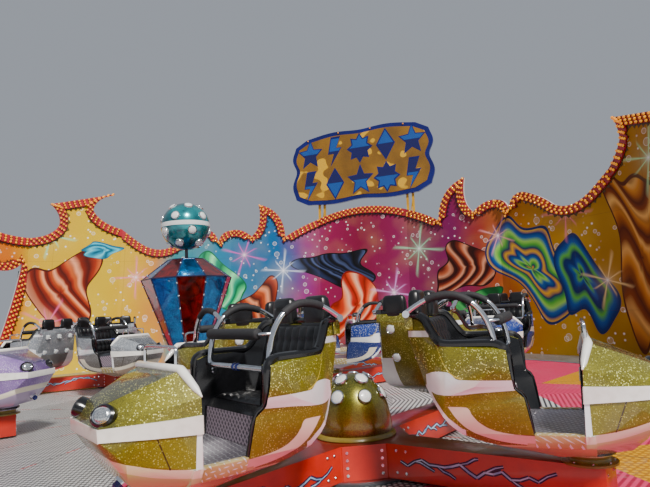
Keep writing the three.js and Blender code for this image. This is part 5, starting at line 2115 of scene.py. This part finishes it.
def wavy_outline(shrink=0.0):
    """The sign's lobed outline, notched at its corners and sides and arched on top."""
    found = []
    count = 96
    for i in range(count):
        turn = (i + 0.5) * 2 * pi / count
        square = 1 / max(abs(cos(turn)), abs(sin(turn)))
        reach = min(square, 1.3) * (0.97 - 0.03 * cos(8 * turn))
        a = min(1, reach * abs(cos(turn))) * (1 if cos(turn) > 0 else -1)
        b = min(1, reach * abs(sin(turn))) * (1 if sin(turn) > 0 else -1)
        arch = 1 - SIGN_ARCH * a * a if b > 0 else 1
        found.append(((SIGN_HALF_WIDTH - shrink) * a, SIGN_MIDDLE + (SIGN_HALF_HEIGHT - shrink) * b * arch))
    return found


def star_outline(outer, inner, points=5):
    """A star's outline with a point upwards."""
    turns = [pi / 2 + i * pi / points for i in range(2 * points)]
    return [((inner if i % 2 else outer) * cos(turn), (inner if i % 2 else outer) * sin(turn))
            for i, turn in enumerate(turns)]


SIGN_SHAPES = {
    "star": star_outline(0.44, 0.2),
    "burst": star_outline(0.42, 0.28, 8),
    "bolt": [(-0.12, 0.42), (0.2, 0.42), (0.06, 0.1), (0.24, 0.1), (-0.14, -0.42), (-0.02, -0.06),
             (-0.22, -0.06)],
    "diamond": star_outline(0.44, 0.3, 2),
}
SIGN_ORDER = ("star", "bolt", "burst", "diamond", "star", "bolt", "diamond", "star", "burst", "bolt")

# Layers of a raised shape: its width and height, its depths behind the board's front and its material number
SIGN_LAYERS = ((1.24, 1.46, 0.003, 0.009, 1), (1.04, 1.26, 0.0, 0.004, 2))
BRACE_RISE = 1.3


class RIDE_OT_sign(RideOperator, bpy.types.Operator):
    """Builds the raised sign with its rim, stars and bulbs, and the bracing of its posts"""
    bl_idname = "ride.sign"
    bl_label = "Sign"

    def build(self, sizes, colours):
        low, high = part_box("sign_board")
        front, back = low.y, high.y
        shape = Shape()
        shape.add(prism(wavy_outline(), "y", front + 0.02, back), 1)
        shape.add(prism(wavy_outline(0.16), "y", front + 0.008, front + 0.021), 0)
        spots = [(x, z) for z in SIGN_ROWS for x in SIGN_COLUMNS]
        for kind, (x, z) in zip(SIGN_ORDER, spots):
            for wide, tall, near, far, number in SIGN_LAYERS:
                outline = [(x + wide * a, z + tall * b) for a, b in SIGN_SHAPES[kind]]
                shape.add(prism(outline, "y", front + near, front + far), number)
        piece("sign_board_panel", shape.mesh("sign", smooth=30), ["sign", "navy", "sign_blue"], "root",
              None, ["sign_board"])
        rim = wavy_outline(0.06)
        places = [((x, front + 0.02, z), (0, -1, 0)) for x, z in along_line([*rim, rim[0]], 1.3, 0.5)
                  if z > SIGN_MIDDLE + 0.9]
        repeated_piece("sign_board_bulbs", places, BULB_PARTS, SIGN_BULB, SIGN_BULB, "root", "sign_paint")
        coat(frame["nodes"]["sign_frame"].data, ["yellow_steel"])
        self.braces()

    def braces(self):
        """Slanting braces between the sign's posts."""
        low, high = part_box("sign_frame")
        middle = (low.y + high.y) / 2
        shape = Shape()
        for left, right in SIGN_POST_PAIRS:
            for k in range(6):
                bottom = 0.6 + k * BRACE_RISE
                start, end = (left, right) if k % 2 else (right, left)
                shape.add(sweep([(start, middle, bottom), (end, middle, bottom + BRACE_RISE)], 0.016, 8))
        piece("sign_frame_braces", shape.mesh("braces"), ["yellow_steel"], "root")


FINISHES = {"turntable_floor": "floor", "podium": "deck", "front_steps": "deck", "base_frame": "dark_steel",
            "turntable_frame": "dark_steel"}
STEP_COUNT = 3
STEP_DEPTH = 0.3
RING_SIDES = 96


class RIDE_OT_platform(RideOperator, bpy.types.Operator):
    """Gives the floor, the podium, the steps and the steelwork their finish and trims"""
    bl_idname = "ride.platform"
    bl_label = "Platform"

    def build(self, sizes, colours):
        for node, finish in FINISHES.items():
            coat(frame["nodes"][node].data, [finish])
        self.steps()
        self.edge_trim()

    def steps(self):
        """Nosings on the steps."""
        low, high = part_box("front_steps")
        shape = Shape()
        rise = deck_height(high.y) / STEP_COUNT
        for k in range(STEP_COUNT - 1):
            y, z = low.y + k * STEP_DEPTH, rise * (k + 1)
            shape.add(block((low.x, y - 0.006, z - 0.03), (high.x, y + 0.04, z + 0.004)))
        piece("front_steps_nosings", shape.mesh("nosings", 0.002), ["sill"], "root")

    def edge_trim(self):
        """A thin cover ring over the gap between the turntable and the podium."""
        ring = [around(TURNTABLE_RADIUS + 0.03, 0.004, 2 * pi * k / RING_SIDES) for k in range(RING_SIDES)]
        shape = Shape().add(sweep(ring, 0.012, 6, closed=True))
        piece("podium_edge_ring", shape.mesh("ring"), ["chrome"], "root", PLATFORM)


# The add-on's panel and its steps

STEPS = (RIDE_OT_stage, RIDE_OT_cars, RIDE_OT_lap_bars, RIDE_OT_crosses, RIDE_OT_wall, RIDE_OT_pillar,
         RIDE_OT_sign, RIDE_OT_platform)


class RIDE_PT_panel(bpy.types.Panel):
    """Lists the steps that build the ride's looks"""
    bl_label = "Dance ride"
    bl_idname = "RIDE_PT_panel"
    bl_space_type = "VIEW_3D"
    bl_region_type = "UI"
    bl_category = "Ride"

    def draw(self, context):
        for group in (context.scene.ride_sizes, context.scene.ride_colours):
            for name in group.bl_rna.properties.keys():
                if name not in ("rna_type", "name"):
                    self.layout.prop(group, name)
        for step in STEPS:
            self.layout.operator(step.bl_idname)


CLASSES = (RideSizes, RideColours, *STEPS, RIDE_PT_panel)


def register():
    """Adds the classes and the scene's settings to Blender."""
    for made in CLASSES:
        bpy.utils.register_class(made)
    bpy.types.Scene.ride_sizes = bpy.props.PointerProperty(type=RideSizes)
    bpy.types.Scene.ride_colours = bpy.props.PointerProperty(type=RideColours)


def unregister():
    """Takes them out again."""
    del bpy.types.Scene.ride_sizes
    del bpy.types.Scene.ride_colours
    for made in reversed(CLASSES):
        bpy.utils.unregister_class(made)


def main():
    """Registers the add-on and runs its steps in order."""
    register()
    for step in STEPS:
        group, name = step.bl_idname.split(".")
        getattr(getattr(bpy.ops, group), name)()
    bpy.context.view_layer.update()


if __name__ == "__main__":
    main()
